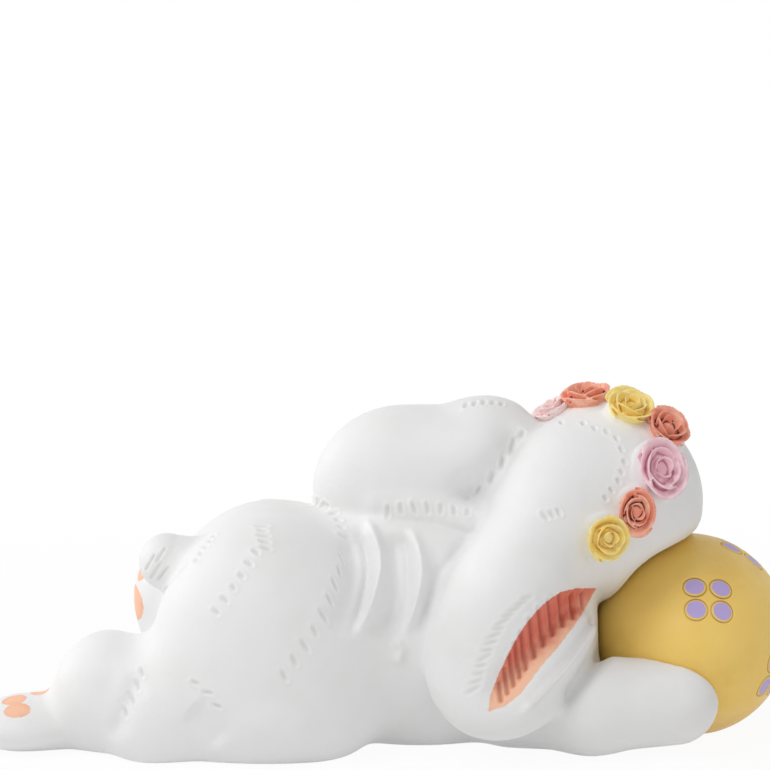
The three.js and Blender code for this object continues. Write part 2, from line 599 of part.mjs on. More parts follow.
// Assembly
const pieces = [
  ['trunk', trunkShell, white],
  ['head', headShell, white],
  ['egg', eggShell, eggYellow],
  ['right_foreleg', foreleg(-1), white],
  ['left_foreleg', foreleg(1), white],
  ['right_ear', rightEar, white],
  ['left_ear', leftEar, white],
  ['right_hind_foot', stretchedFoot(), white],
  ['left_hind_foot', raisedFoot(), white],
  ['tail', seated(tailSkin(0), trunkCutter), white],
  ['crown_band', crownBand(), white],
  ...roses.map((rose, index) => [rose.name, roseSolid(rose, index), rose.colour]),
];

// A cut can leave crumbs beside a piece, so only its largest body is kept.
function largest(piece) {
  return piece.decompose().reduce((best, body) => (body.volume() > best.volume() ? body : best));
}

function meshOf(name, piece, material) {
  const made = largest(piece).getMesh();
  const geometry = new THREE.BufferGeometry();
  geometry.setAttribute('position', new THREE.BufferAttribute(new Float32Array(made.vertProperties), 3));
  geometry.setIndex(new THREE.BufferAttribute(made.triVerts, 1));
  geometry.computeBoundingBox();
  const middle = geometry.boundingBox.getCenter(new THREE.Vector3());
  geometry.translate(-middle.x, -middle.y, -middle.z);
  geometry.computeVertexNormals();
  const mesh = new THREE.Mesh(geometry, material.clone());
  mesh.name = name;
  mesh.position.copy(middle);
  return mesh;
}

// The origin is on the ground, under the middle of the whole figurine.
const hare = new THREE.Group();
pieces.forEach(([name, piece, material]) => hare.add(meshOf(name, piece, material)));
const middle = new THREE.Box3().setFromObject(hare).getCenter(new THREE.Vector3());
hare.position.set(-middle.x, -middle.y, 0);

const figurine = new THREE.Group();
figurine.add(hare);

export default figurine;
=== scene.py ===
"""Looks of the sleeping hare figurine: hand-finished white clay, a painted egg and a crown of roses.

The white clay is one blended form. Each casting takes the cell of that form that lies nearest to it, so the
castings meet without a step. Hair marks, pits, ribs and rings are cut in by Geometry Nodes.
Forms are worked out in millimetres in the CAD frame, and meshes are made in metres.
"""

import logging
import math
from collections.abc import Callable, Sequence
from dataclasses import dataclass, field
from enum import Enum

import bmesh
import bpy
import numpy as np
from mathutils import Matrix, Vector


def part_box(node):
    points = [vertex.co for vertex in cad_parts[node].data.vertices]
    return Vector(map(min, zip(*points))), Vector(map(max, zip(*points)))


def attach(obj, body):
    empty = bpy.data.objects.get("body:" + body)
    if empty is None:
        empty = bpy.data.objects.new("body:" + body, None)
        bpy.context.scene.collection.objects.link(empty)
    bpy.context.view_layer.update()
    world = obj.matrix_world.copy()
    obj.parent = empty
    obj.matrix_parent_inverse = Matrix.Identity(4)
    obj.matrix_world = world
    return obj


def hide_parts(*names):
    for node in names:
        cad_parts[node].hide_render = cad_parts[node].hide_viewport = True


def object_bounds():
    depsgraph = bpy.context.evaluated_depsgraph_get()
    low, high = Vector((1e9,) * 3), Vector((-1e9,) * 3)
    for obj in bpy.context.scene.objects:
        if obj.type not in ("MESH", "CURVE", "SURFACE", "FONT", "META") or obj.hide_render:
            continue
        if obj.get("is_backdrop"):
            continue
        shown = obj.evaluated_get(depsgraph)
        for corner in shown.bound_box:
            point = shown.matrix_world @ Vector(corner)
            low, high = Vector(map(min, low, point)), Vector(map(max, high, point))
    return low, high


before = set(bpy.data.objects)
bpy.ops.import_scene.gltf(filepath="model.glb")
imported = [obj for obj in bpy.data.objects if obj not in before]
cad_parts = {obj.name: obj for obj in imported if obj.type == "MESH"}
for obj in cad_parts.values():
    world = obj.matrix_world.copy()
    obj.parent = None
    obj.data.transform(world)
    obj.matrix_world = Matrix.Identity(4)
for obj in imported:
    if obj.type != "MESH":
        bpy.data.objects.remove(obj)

CAD_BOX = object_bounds()
LOG = logging.getLogger("hare")
MM = 0.001
SEED = 7
TINY = 1e-6
FAR = 1e9
# Rounds that bring points onto a surface, from close by and from further off
CLOSE_ROUNDS, FAR_ROUNDS = 6, 12

Array = np.ndarray
Form = Callable[[Array], Array]
Pixels = Sequence[tuple[float, float]]
Socket = bpy.types.NodeSocket


class Side(Enum):
    """The hare's own right and left, as a sign along Y."""

    RIGHT = -1
    LEFT = 1


def point(*xyz: float) -> Array:
    """A point or a direction."""
    return np.array(xyz, np.float32)


def lengths(vectors: Array) -> Array:
    """The length of each row."""
    return np.sqrt(np.einsum("ij,ij->i", vectors, vectors))


def unit(vectors: Array) -> Array:
    """Each row, or one vector, at length one."""
    return vectors / np.maximum(np.linalg.norm(vectors, axis=-1, keepdims=True), TINY)


def smooth_step(value: Array) -> Array:
    """A soft ramp from 0 to 1."""
    t = np.clip(value, 0, 1)
    return t * t * (3 - 2 * t)


# Forms: distance from a point to a rounded mass, below zero inside it


def ball(centre: Array, radii: Sequence[float]) -> Form:
    """An ellipsoid.

    Args:
        centre: Its middle.
        radii: Its half lengths along X, Y and Z.

    Returns:
        The form.
    """
    size = np.array(radii, np.float32)

    def distance(p: Array) -> Array:
        """The distance from some points."""
        scaled = (p - centre) / size
        near = lengths(scaled)
        slope = lengths(scaled / size)
        return np.where(slope > TINY, near * (near - 1) / np.maximum(slope, TINY), -size.min())

    return distance


def limb(start: Array, end: Array, start_radius: float, end_radius: float) -> Form:
    """A round-ended taper between two points.

    Args:
        start: One end.
        end: The other end.
        start_radius: Radius at the start.
        end_radius: Radius at the end.

    Returns:
        The form.
    """
    along = (end - start).astype(np.float32)
    reach = float(along @ along)

    def distance(p: Array) -> Array:
        """The distance from some points."""
        offset = p - start
        t = np.clip(offset @ along / reach, 0, 1)
        return lengths(offset - t[:, None] * along) - (start_radius + (end_radius - start_radius) * t)

    return distance


def chain(points: Array, radii: Sequence[float], far: float = 8.0) -> Form:
    """Tapers joined end to end.

    Args:
        points: The joints.
        radii: The radius at each joint.
        far: Past this distance the values are only rough.

    Returns:
        The form.
    """
    links = [limb(points[i], points[i + 1], radii[i], radii[i + 1]) for i in range(len(points) - 1)]
    low, high = points.min(0) - far - max(radii), points.max(0) + far + max(radii)

    def distance(p: Array) -> Array:
        """The distance from some points."""
        gaps = far + lengths(np.maximum(np.maximum(low - p, p - high), 0))
        near = gaps == far
        if near.any():
            gaps[near] = np.min([link(p[near]) for link in links], axis=0)
        return gaps

    return distance


def soft_min(a: Array, b: Array, softness: Array | float) -> Array:
    """The union of two forms, with a fillet."""
    overlap = np.maximum(softness - np.abs(a - b), 0) / softness
    return np.minimum(a, b) - overlap * overlap * softness / 4


def soft_max(a: Array, b: Array, softness: Array | float) -> Array:
    """The overlap of two forms, with a rounded edge."""
    return -soft_min(-a, -b, softness)


def blended(softness: float, *forms: Form) -> Form:
    """Masses of clay pressed together.

    Args:
        softness: Size of the fillet.
        forms: The masses.

    Returns:
        The form.
    """

    def distance(p: Array) -> Array:
        """The distance from some points."""
        total = forms[0](p)
        for form in forms[1:]:
            total = soft_min(total, form(p), softness)
        return total

    return distance


def gradient(form: Form, p: Array, base: Array | None = None, step: float = 0.05) -> Array:
    """The outward direction of a form at some points, whose values may be known."""
    base = form(p) if base is None else base
    return np.stack([(form(p + axis) - base) / step for axis in np.eye(3, dtype=np.float32) * step], 1)


def settle(form: Form, p: Array, rounds: int = 2, longest: float = 1.0, flat: float = 0.2) -> Array:
    """Moves points onto a form's surface.

    Args:
        form: The form.
        p: Points near it.
        rounds: How often the step is repeated.
        longest: The longest step.
        flat: The least slope, squared, that a step reckons with.

    Returns:
        The moved points.
    """
    for _ in range(rounds):
        base = form(p)
        slope = gradient(form, p, base)
        reach = np.maximum(np.einsum("ij,ij->i", slope, slope), flat)
        p = p - (np.clip(base, -longest, longest) / reach)[:, None] * slope
    return p


@dataclass(frozen=True)
class Place:
    """A turned frame: its origin, and its x, y and z axes as rows."""

    origin: Array
    axes: Array

    def local(self, p: Array) -> Array:
        """Points as this frame sees them."""
        return (p - self.origin) @ self.axes.T

    def world(self, *xyz: float) -> Array:
        """A point of this frame in the CAD frame."""
        return self.origin + point(*xyz) @ self.axes

    def carry(self, form: Form) -> Form:
        """A form that is written in this frame, in the CAD frame."""
        return lambda p: form(self.local(p))


def turn(axis: str, degrees: float) -> Array:
    """A rotation matrix about X, Y or Z.

    Args:
        axis: The axis.
        degrees: The angle.

    Returns:
        The matrix.
    """
    c, s = math.cos(math.radians(degrees)), math.sin(math.radians(degrees))
    rows = {"X": [[1, 0, 0], [0, c, -s], [0, s, c]], "Y": [[c, 0, s], [0, 1, 0], [-s, 0, c]],
            "Z": [[c, -s, 0], [s, c, 0], [0, 0, 1]]}
    return np.array(rows[axis], np.float32)


def box_mm(node: str) -> tuple[Array, Array]:
    """A CAD node's lowest and highest corner in millimetres."""
    low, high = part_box(node)
    return np.array(low, np.float32) / MM, np.array(high, np.float32) / MM


@dataclass(frozen=True)
class PhotoCamera:
    """The camera, at the photograph's height, distance and angle, and how its sight lines are followed."""

    location: tuple[float, float, float] = (0.7, -883.5, 215.4)
    pitch: float = 82.2
    lens: float = 155.6
    sensor: float = 36.0
    frame_side: float = 770.0
    clip: tuple[float, float] = (0.05, 20.0)
    nearest: float = 780.0
    farthest: float = 1000.0
    steps: int = 150
    touch: float = 0.02
    pace: float = 0.7
    least_pace: float = 0.05

    @property
    def middle(self) -> float:
        """The frame's middle in pixels."""
        return self.frame_side / 2

    def axes(self) -> Array:
        """Right, up and forward as rows."""
        c, s = math.cos(math.radians(self.pitch)), math.sin(math.radians(self.pitch))
        return np.array([[1, 0, 0], [0, c, s], [0, s, -c]], np.float32)

    def focal(self) -> float:
        """The focal length in pixels."""
        return self.lens / self.sensor * self.frame_side

    def project(self, p: Array) -> Array:
        """Points of the CAD frame as pixels of the photograph.

        Args:
            p: The points.

        Returns:
            Two columns, x and y.
        """
        seen = (p - point(*self.location)) @ self.axes().T
        scale = self.focal() / seen[:, 2]
        return np.stack([self.middle + seen[:, 0] * scale, self.middle - seen[:, 1] * scale], 1)

    def trace(self, form: Form, pixels: Pixels, depth: float = 0.0) -> Array:
        """Where the sight lines through some pixels meet a form.

        Args:
            form: What is looked at.
            pixels: The pixels.
            depth: How far behind the surface the points lie.

        Returns:
            One point for each pixel.
        """
        spots, eye = np.array(pixels, np.float32), point(*self.location)
        forward = np.full(len(spots), self.focal())
        ways = np.stack([spots[:, 0] - self.middle, self.middle - spots[:, 1], forward], 1)
        ways = unit(ways @ self.axes())
        reach = np.full(len(spots), self.nearest, np.float32)
        best, least = reach.copy(), np.full(len(spots), FAR, np.float32)
        for _ in range(self.steps):
            gap = form(eye + ways * reach[:, None])
            closer = gap < least
            best, least = np.where(closer, reach, best), np.where(closer, gap, least)
            done = (least < self.touch) | (reach > self.farthest)
            if done.all():
                break
            reach = reach + np.where(done, 0, np.maximum(gap * self.pace, self.least_pace))
        return eye + ways * (best + depth)[:, None]

    def blade(self, first: tuple[float, float], second: tuple[float, float]) -> Form:
        """A flat cut along the sight lines through two pixels.

        Args:
            first: Where the cut starts.
            second: Where it ends; what lies to the left of the way there is cut off.

        Returns:
            The form that is left, for soft_max.
        """
        seen = [point(x - self.middle, self.middle - y, self.focal()) for x, y in (first, second)]
        ways = [way @ self.axes() for way in seen]
        normal, eye = unit(np.cross(ways[1], ways[0])), point(*self.location)
        return lambda p: (p - eye) @ normal

    def build(self) -> None:
        """Adds the camera to the scene."""
        data = bpy.data.cameras.new("photo_camera")
        data.lens, data.sensor_width = self.lens, self.sensor
        data.clip_start, data.clip_end = self.clip
        camera = bpy.data.objects.new("photo_camera", data)
        camera.location = [value * MM for value in self.location]
        camera.rotation_euler = (math.radians(self.pitch), 0, 0)
        bpy.context.scene.collection.objects.link(camera)
        bpy.context.scene.camera = camera


CAMERA = PhotoCamera()


def dense(pixels: Pixels, step: float = 3.0) -> Array:
    """A pixel path with points at an even step, on a smooth curve through the given ones.

    Args:
        pixels: The given points.
        step: Pixels between two points.

    Returns:
        The path.
    """
    spots = np.array(pixels, float)
    padded = np.vstack([2 * spots[0] - spots[1], spots, 2 * spots[-1] - spots[-2]])
    path = []
    for a, b, c, d in zip(padded, padded[1:], padded[2:], padded[3:]):
        count = max(int(np.linalg.norm(c - b) / step), 1)
        for t in np.arange(count) / count:
            path.append(0.5 * (2 * b + (c - a) * t + (2 * a - 5 * b + 4 * c - d) * t**2
                               + (3 * b - a - 3 * c + d) * t**3))
    return np.array(path + [spots[-1]], np.float32)


@dataclass(frozen=True)
class Swell:
    """A soft ridge along a path of photograph pixels, or a furrow where its height is below zero.

    The height is in millimetres and the width in pixels.
    """

    pixels: tuple
    height: float
    width: float


class Relief:
    """Soft ridges and furrows, drawn on a form as the camera sees it.

    The step is in pixels; the fade is in widths, and the ends taper over a part of the length.
    """

    step = 10.0
    fade = 2.6
    taper = 4.0

    def __init__(self, *swells: Swell) -> None:
        """Takes the ridges and furrows."""
        self.parts = [(dense(swell.pixels, self.step), swell) for swell in swells]

    def height(self, p: Array) -> Array:
        """How far the surface is raised at some points.

        Args:
            p: The points.

        Returns:
            The heights in millimetres.
        """
        spots = CAMERA.project(p)
        total = np.zeros(len(p), np.float32)
        for path, swell in self.parts:
            reach = self.fade * swell.width
            near = ((spots > path.min(0) - reach) & (spots < path.max(0) + reach)).all(1)
            if near.any():
                total[near] += self.profile(spots[near], path, swell)
        return total

    def profile(self, spots: Array, path: Array, swell: Swell) -> Array:
        """One ridge's height, which fades to its sides and its ends.

        Args:
            spots: The points as pixels.
            path: The ridge's path.
            swell: The ridge.

        Returns:
            The heights in millimetres.
        """
        gap, along = np.full(len(spots), FAR, np.float32), np.zeros(len(spots), np.float32)
        count = len(path) - 1
        for number in range(count):
            side, offset = path[number + 1] - path[number], spots - path[number]
            t = np.clip(offset @ side / (side @ side), 0, 1)
            here = lengths(offset - t[:, None] * side)
            along = np.where(here < gap, (number + t) / count, along)
            gap = np.minimum(gap, here)
        ends = smooth_step(np.minimum(along, 1 - along) * self.taper)
        return swell.height * ends * np.exp(-((gap / swell.width) ** 2))


# Surfaces


def sampled(form: Form, low: Array, counts: Array, pitch: float, block: int = 8, reach: float = 1.5,
            batch: int = 400000) -> Array:
    """A form's values on a grid, worked out only in the blocks that its surface crosses.

    Args:
        form: The form.
        low: The grid's lowest corner.
        counts: Grid points along each axis.
        pitch: Grid step.
        block: Grid points along a block's side.
        reach: How many blocks away the surface may lie.
        batch: Grid points that are worked out at once.

    Returns:
        The values; away from the surface only their sign is right.
    """
    blocks = -(-counts // block)
    starts = np.stack(np.meshgrid(*[np.arange(n) * block for n in blocks], indexing="ij"), -1).reshape(-1, 3)
    middles = (low + pitch * (starts + (block - 1) / 2)).astype(np.float32)
    rough = form(middles)
    full = np.repeat(rough.reshape(blocks), block, 0).repeat(block, 1).repeat(block, 2)
    values = full[:counts[0], :counts[1], :counts[2]].astype(np.float32)
    steps = np.stack(np.meshgrid(*[np.arange(block)] * 3, indexing="ij"), -1).reshape(-1, 3)
    near = starts[np.abs(rough) < reach * pitch * block]
    index = (near[:, None, :] + steps).reshape(-1, 3)
    index = index[(index < counts).all(1)]
    for part in np.array_split(index, max(len(index) // batch, 1)):
        values[tuple(part.T)] = form((low + pitch * part).astype(np.float32))
    return values


def surface(form: Form, low: Array, high: Array, pitch: float) -> tuple[Array, Array]:
    """The closed skin of a form as quads.

    Args:
        form: The form, which stays inside the box.
        low: The box's lowest corner.
        high: The box's highest corner.
        pitch: Size of a quad.

    Returns:
        The points and the quads' corners.
    """
    counts = np.ceil((high - low) / pitch).astype(int) + 1
    values = sampled(form, low, counts, pitch)
    cells = int(np.prod(counts))
    total, hits, quads = np.zeros((cells, 3)), np.zeros(cells), []
    for axis in range(3):
        across, up = (axis + 1) % 3, (axis + 2) % 3
        near = np.take(values, np.arange(counts[axis] - 1), axis)
        far = np.take(values, np.arange(1, counts[axis]), axis)
        crossed = (near < 0) != (far < 0)
        at = np.argwhere(crossed)
        part = near[crossed] / (near[crossed] - far[crossed])
        spots = low + pitch * (at + part[:, None] * np.eye(3)[axis])
        corners = []
        for back_across, back_up in ((0, 0), (1, 0), (1, 1), (0, 1)):
            cell = at.copy()
            cell[:, across] -= back_across
            cell[:, up] -= back_up
            index = np.ravel_multi_index(cell.T, counts, mode="clip")
            corners.append(index)
            hits += np.bincount(index, minlength=cells)
            for column in range(3):
                total[:, column] += np.bincount(index, spots[:, column], cells)
        quad = np.stack(corners, 1)
        inward = near[crossed] >= 0
        quad[inward] = quad[inward][:, ::-1]
        quads.append(quad)
    used = hits > 0
    number = np.cumsum(used) - 1
    points = (total[used] / hits[used][:, None]).astype(np.float32)
    return points, number[np.vstack(quads)]


def without_crumbs(points: Array, quads: Array, least: int = 40) -> tuple[Array, Array]:
    """A skin without its tiny loose parts.

    Args:
        points: The points.
        quads: The quads' corners.
        least: Parts with fewer points than this are dropped.

    Returns:
        The kept points and quads.
    """
    label = np.arange(len(points))
    while True:
        before = label.copy()
        lowest = label[quads].min(1)
        np.minimum.at(label, quads.ravel(), np.repeat(lowest, 4))
        label = label[label]
        if (before == label).all():
            break
    values, sizes = np.unique(label, return_counts=True)
    kept = np.isin(label, values[sizes >= least])
    number = np.cumsum(kept) - 1
    return points[kept], number[quads[kept[quads[:, 0]]]]


def close_to(p: Array, targets: Array, reach: float, span: int = 4096) -> Array:
    """Which points lie about as near to some targets as the given reach.

    Args:
        p: The points.
        targets: The targets.
        reach: The distance.
        span: More cells than there are along any axis.

    Returns:
        A mask.
    """
    if not len(targets):
        return np.zeros(len(p), bool)
    low = np.minimum(p.min(0), targets.min(0)) - 2 * reach

    def keys(cells: Array) -> Array:
        """One number for each cell."""
        return (cells[:, 0] * span + cells[:, 1]) * span + cells[:, 2]

    cells = np.unique(np.floor((targets - low) / reach).astype(np.int64), axis=0)
    around = np.stack(np.meshgrid(*[[-1, 0, 1]] * 3, indexing="ij"), -1).reshape(-1, 3)
    wanted = keys((cells[:, None, :] + around).reshape(-1, 3))
    return np.isin(keys(np.floor((p - low) / reach).astype(np.int64)), wanted)


def fetched(items: Sequence, name: str, width: int, kind: type = np.float32) -> Array:
    """A property of a mesh's points or edges.

    Args:
        items: The points or edges.
        name: The property.
        width: How many numbers each of them has.
        kind: The numbers' type.

    Returns:
        One row for each of them.
    """
    flat = np.zeros(len(items) * width, kind)
    items.foreach_get(name, flat)
    return flat.reshape(-1, width)


def mesh_points(mesh: bpy.types.Mesh) -> Array:
    """A mesh's points in millimetres."""
    return fetched(mesh.vertices, "co", 3) / MM


def set_points(mesh: bpy.types.Mesh, points: Array) -> None:
    """Moves a mesh's points, given in millimetres."""
    mesh.vertices.foreach_set("co", np.asarray(points * MM, np.float32).ravel())
    mesh.update()


def make_mesh(name: str, points: Array, faces: Array | None = None,
              edges: Array | None = None) -> bpy.types.Mesh:
    """A mesh from points in millimetres.

    Args:
        name: Its name.
        points: The points.
        faces: The faces' corners.
        edges: Loose edges.

    Returns:
        The mesh, smooth shaded.
    """
    mesh = bpy.data.meshes.new(name)
    none: list[int] = []
    mesh.from_pydata((points * MM).tolist(), none if edges is None else edges.tolist(),
                     none if faces is None else faces.tolist())
    mesh.polygons.foreach_set("use_smooth", np.ones(len(mesh.polygons), bool))
    mesh.update()
    return mesh


def make_object(name: str, mesh: bpy.types.Mesh) -> bpy.types.Object:
    """An object at the origin, in the scene.

    Args:
        name: Its name.
        mesh: Its mesh.

    Returns:
        The object.
    """
    made = bpy.data.objects.new(name, mesh)
    bpy.context.scene.collection.objects.link(made)
    return made


def refine(mesh: bpy.types.Mesh, targets: Array, reach: float) -> None:
    """Halves the faces near some targets.

    Args:
        mesh: The mesh.
        targets: Points in millimetres.
        reach: How far from them faces are halved.
    """
    chosen = close_to(mesh_points(mesh), targets, reach)
    work = bmesh.new()
    work.from_mesh(mesh)
    edges = [e for e in work.edges if chosen[e.verts[0].index] and chosen[e.verts[1].index]]
    bmesh.ops.subdivide_edges(work, edges=edges, cuts=1, use_grid_fill=True)
    work.to_mesh(mesh)
    work.free()
    mesh.polygons.foreach_set("use_smooth", np.ones(len(mesh.polygons), bool))


def store(mesh: bpy.types.Mesh, name: str, values: Array, kind: str = "FLOAT") -> None:
    """Writes an attribute on a mesh's points.

    Args:
        mesh: The mesh.
        name: The attribute's name.
        values: One number, or one vector, for each point.
        kind: FLOAT or FLOAT_VECTOR.
    """
    made = mesh.attributes.get(name) or mesh.attributes.new(name, kind, "POINT")
    made.data.foreach_set("value" if kind == "FLOAT" else "vector", np.asarray(values, np.float32).ravel())


# Node trees


class Graph:
    """Adds nodes to a tree and joins their sockets."""

    def __init__(self, tree: bpy.types.NodeTree) -> None:
        """Starts on a tree."""
        self.tree = tree

    def add(self, kind: str, inputs: dict | None = None, **settings: object) -> bpy.types.Node:
        """One node.

        Args:
            kind: Its type.
            inputs: Values or sockets, by the input's name or number.
            settings: The node's own settings.

        Returns:
            The node.
        """
        node = self.tree.nodes.new(kind)
        for key, value in settings.items():
            setattr(node, key, value)
        for key, value in (inputs or {}).items():
            if isinstance(value, bpy.types.NodeSocket):
                self.tree.links.new(value, node.inputs[key])
            else:
                node.inputs[key].default_value = value
        return node

    def out(self, kind: str, inputs: dict | None = None, output: int | str = 0, **settings: object) -> Socket:
        """An output of a new node, by its name or number."""
        return self.add(kind, inputs, **settings).outputs[output]

    def math(self, operation: str, a: Socket | float, b: Socket | float = 0.0) -> Socket:
        """The result of a sum."""
        return self.out("ShaderNodeMath", {0: a, 1: b}, operation=operation)

    def times(self, a: Socket | float, b: Socket | float) -> Socket:
        """A product."""
        return self.math("MULTIPLY", a, b)

    def ramp(self, value: Socket | float, low: Socket | float, high: Socket | float,
             start: float = 0.0, end: float = 1.0) -> Socket:
        """A soft step from start to end as the value goes from low to high."""
        inputs = {"Value": value, "From Min": low, "From Max": high, "To Min": start, "To Max": end}
        return self.out("ShaderNodeMapRange", inputs, "Result", interpolation_type="SMOOTHSTEP")


class Recipe(Graph):
    """A Geometry Nodes tree with named inputs."""

    def __init__(self, name: str, **inputs: str) -> None:
        """Makes the tree.

        Args:
            name: Its name.
            inputs: The sockets' names and types, besides the geometry and the material.
        """
        super().__init__(bpy.data.node_groups.new(name, "GeometryNodeTree"))
        face = self.tree.interface
        for way in ("INPUT", "OUTPUT"):
            face.new_socket("Geometry", in_out=way, socket_type="NodeSocketGeometry")
        self.keys = {}
        for key, kind in {**inputs, "Material": "Material"}.items():
            self.keys[key] = face.new_socket(key, in_out="INPUT", socket_type=f"NodeSocket{kind}").identifier
        self.given = self.add("NodeGroupInput").outputs

    def attribute(self, name: str, kind: str = "FLOAT") -> Socket:
        """A named attribute of the geometry."""
        return self.out("GeometryNodeInputNamedAttribute", {"Name": name}, "Attribute", data_type=kind)

    def random(self, low: Socket | float, high: Socket | float) -> Socket:
        """A random number for each point, from the tree's seed."""
        return self.out("FunctionNodeRandomValue", {2: low, 3: high, "Seed": self.given["Seed"]}, 1)

    def upright(self, value: Socket) -> Socket:
        """A vector along z."""
        return self.out("ShaderNodeCombineXYZ", {2: value})

    def end(self, geometry: Socket) -> None:
        """Realizes, sets the material and joins the output.

        Args:
            geometry: What the tree has made.
        """
        real = self.out("GeometryNodeRealizeInstances", {"Geometry": geometry})
        done = self.out("GeometryNodeSetMaterial", {"Geometry": real, "Material": self.given["Material"]})
        self.add("NodeGroupOutput", {"Geometry": done})

    def use_on(self, target: bpy.types.Object, **values: object) -> None:
        """Adds the tree to an object as a modifier.

        Args:
            target: The object.
            values: The inputs.
        """
        modifier = target.modifiers.new(self.tree.name, "NODES")
        modifier.node_group = self.tree
        for name, value in values.items():
            modifier[self.keys[name]] = value


def freeze(target: bpy.types.Object) -> bpy.types.Mesh:
    """Turns an object's modifiers into a plain mesh.

    Args:
        target: The object.

    Returns:
        Its new mesh.
    """
    bpy.context.view_layer.update()
    seen = target.evaluated_get(bpy.context.evaluated_depsgraph_get())
    mesh = bpy.data.meshes.new_from_object(seen)
    target.modifiers.clear()
    old, target.data = target.data, mesh
    bpy.data.meshes.remove(old)
    mesh.name = target.name
    return mesh


class HairMarks(Recipe):
    """Short leaf-shaped strokes along paths on the clay."""

    corners = 7
    growth = (0.7, 1.25)

    def __init__(self) -> None:
        """Builds the tree."""
        super().__init__("hair_marks", Jitter="Float", Lift="Float", Seed="Int")
        given = self.given
        curve = self.out("GeometryNodeMeshToCurve", {"Mesh": given["Geometry"]})
        inputs = {"Curve": curve, "Length": self.attribute("spacing")}
        rows = self.out("GeometryNodeResampleCurve", inputs, mode="LENGTH")
        step = 1 / (self.corners - 1)
        inputs = {"Count": self.corners, "Start Location": (-0.5, 0, 0), "Offset": (step, 0, 0)}
        stroke = self.out("GeometryNodeMeshLine", inputs)
        along = self.out("ShaderNodeSeparateXYZ", {0: self.out("GeometryNodeInputPosition")})
        # A stroke's ends lie half its length from its middle, so four squares of that make the whole lift
        lifted = self.times(self.times(along, along), self.times(given["Lift"], 4))
        stroke = self.out("GeometryNodeSetPosition", {"Geometry": stroke, "Offset": self.upright(lifted)})
        inputs = {0: self.attribute("up", "FLOAT_VECTOR"), 1: (1, 0, 0)}
        flat = self.out("FunctionNodeAxesToRotation", inputs, primary_axis="Z", secondary_axis="X")
        spread = self.random(self.times(given["Jitter"], -1), given["Jitter"])
        lean = self.upright(self.math("ADD", self.attribute("lean"), spread))
        inputs = {"Rotation": flat, "Rotate By": self.out("FunctionNodeEulerToRotation", {0: lean})}
        turned = self.out("FunctionNodeRotateRotation", inputs, rotation_space="LOCAL")
        length = self.times(self.attribute("length"), self.random(*self.growth))
        size = self.out("ShaderNodeCombineXYZ", {0: length, 1: 1.0, 2: 1.0})
        inputs = {"Points": rows, "Instance": stroke, "Rotation": turned, "Scale": size}
        self.end(self.out("GeometryNodeInstanceOnPoints", inputs))


class DotRings(Recipe):
    """A ring round each point, flat on the surface."""

    corners = 28

    def __init__(self) -> None:
        """Builds the tree."""
        super().__init__("dot_rings", Radius="Float")
        ring = self.out("GeometryNodeMeshCircle", {"Vertices": self.corners, "Radius": self.given["Radius"]})
        up = self.attribute("up", "FLOAT_VECTOR")
        flat = self.out("FunctionNodeAlignRotationToVector", {"Vector": up}, axis="Z")
        inputs = {"Points": self.given["Geometry"], "Instance": ring, "Rotation": flat}
        self.end(self.out("GeometryNodeInstanceOnPoints", inputs))


@dataclass(frozen=True)
class Cut:
    """An engraved stroke: its half width, its depth and the lip beside it, in millimetres."""

    width: float
    depth: float
    lip: float

    def inputs(self) -> dict[str, float]:
        """What the engraving asks for, in metres."""
        return {"Width": self.width * MM, "Depth": self.depth * MM, "Lip": self.lip * MM}


class Engraving(Recipe):
    """Cuts strokes into a surface, with a raised lip, and notes the depth in an attribute."""

    lip_span = (0.7, 1.3, 2.2)

    def __init__(self) -> None:
        """Builds the tree."""
        super().__init__("engraving", Strokes="Object", Width="Float", Depth="Float", Lip="Float")
        given = self.given
        strokes = self.out("GeometryNodeObjectInfo", {"Object": given["Strokes"]}, "Geometry")
        gap = self.out("GeometryNodeProximity", {0: strokes}, "Distance", target_element="EDGES")
        start, top, end = (self.times(given["Width"], part) for part in self.lip_span)
        cut = self.ramp(gap, 0.0, given["Width"], 1.0, 0.0)
        lip = self.times(self.ramp(gap, start, top), self.ramp(gap, top, end, 1.0, 0.0))
        shift = self.math("SUBTRACT", self.times(lip, given["Lip"]), self.times(cut, given["Depth"]))
        inputs = {0: self.out("GeometryNodeInputNormal"), "Scale": shift}
        offset = self.out("ShaderNodeVectorMath", inputs, operation="SCALE")
        depth = self.math("MAXIMUM", self.attribute("groove"), cut)
        inputs = {"Geometry": given["Geometry"], "Name": "groove", "Value": depth}
        noted = self.out("GeometryNodeStoreNamedAttribute", inputs, data_type="FLOAT", domain="POINT")
        self.end(self.out("GeometryNodeSetPosition", {"Geometry": noted, "Offset": offset}))


class RosePetals(Recipe):
    """Rings of petals round a heart, each ring steeper and smaller than the one outside it."""

    heart_radius = 0.02
    sway = 0.2
    growth = (0.92, 1.06)

    def __init__(self) -> None:
        """Builds the tree."""
        super().__init__("rose_petals", Petal="Object", Count="Int", Size="Float", Height="Float",
                         Spin="Float", Seed="Int")
        given = self.given
        ring = self.out("GeometryNodeMeshCircle", {"Vertices": given["Count"], "Radius": self.heart_radius})
        step = self.math("DIVIDE", math.tau, given["Count"])
        spin = self.math("ADD", self.random(-self.sway, self.sway), given["Spin"])
        around = self.math("ADD", self.times(self.out("GeometryNodeInputIndex"), step), spin)
        grow = self.random(*self.growth)
        size, high = self.times(given["Size"], grow), self.times(given["Height"], grow)
        scale = self.out("ShaderNodeCombineXYZ", {0: size, 1: size, 2: high})
        petal = self.out("GeometryNodeObjectInfo", {"Object": given["Petal"]}, "Geometry")
        inputs = {"Points": ring, "Instance": petal, "Rotation": self.upright(around), "Scale": scale}
        ring = self.out("GeometryNodeInstanceOnPoints", inputs)
        joined = self.add("GeometryNodeJoinGeometry")
        for part in (ring, given["Geometry"]):
            self.tree.links.new(part, joined.inputs[0])
        self.end(joined.outputs[0])


# Finishes


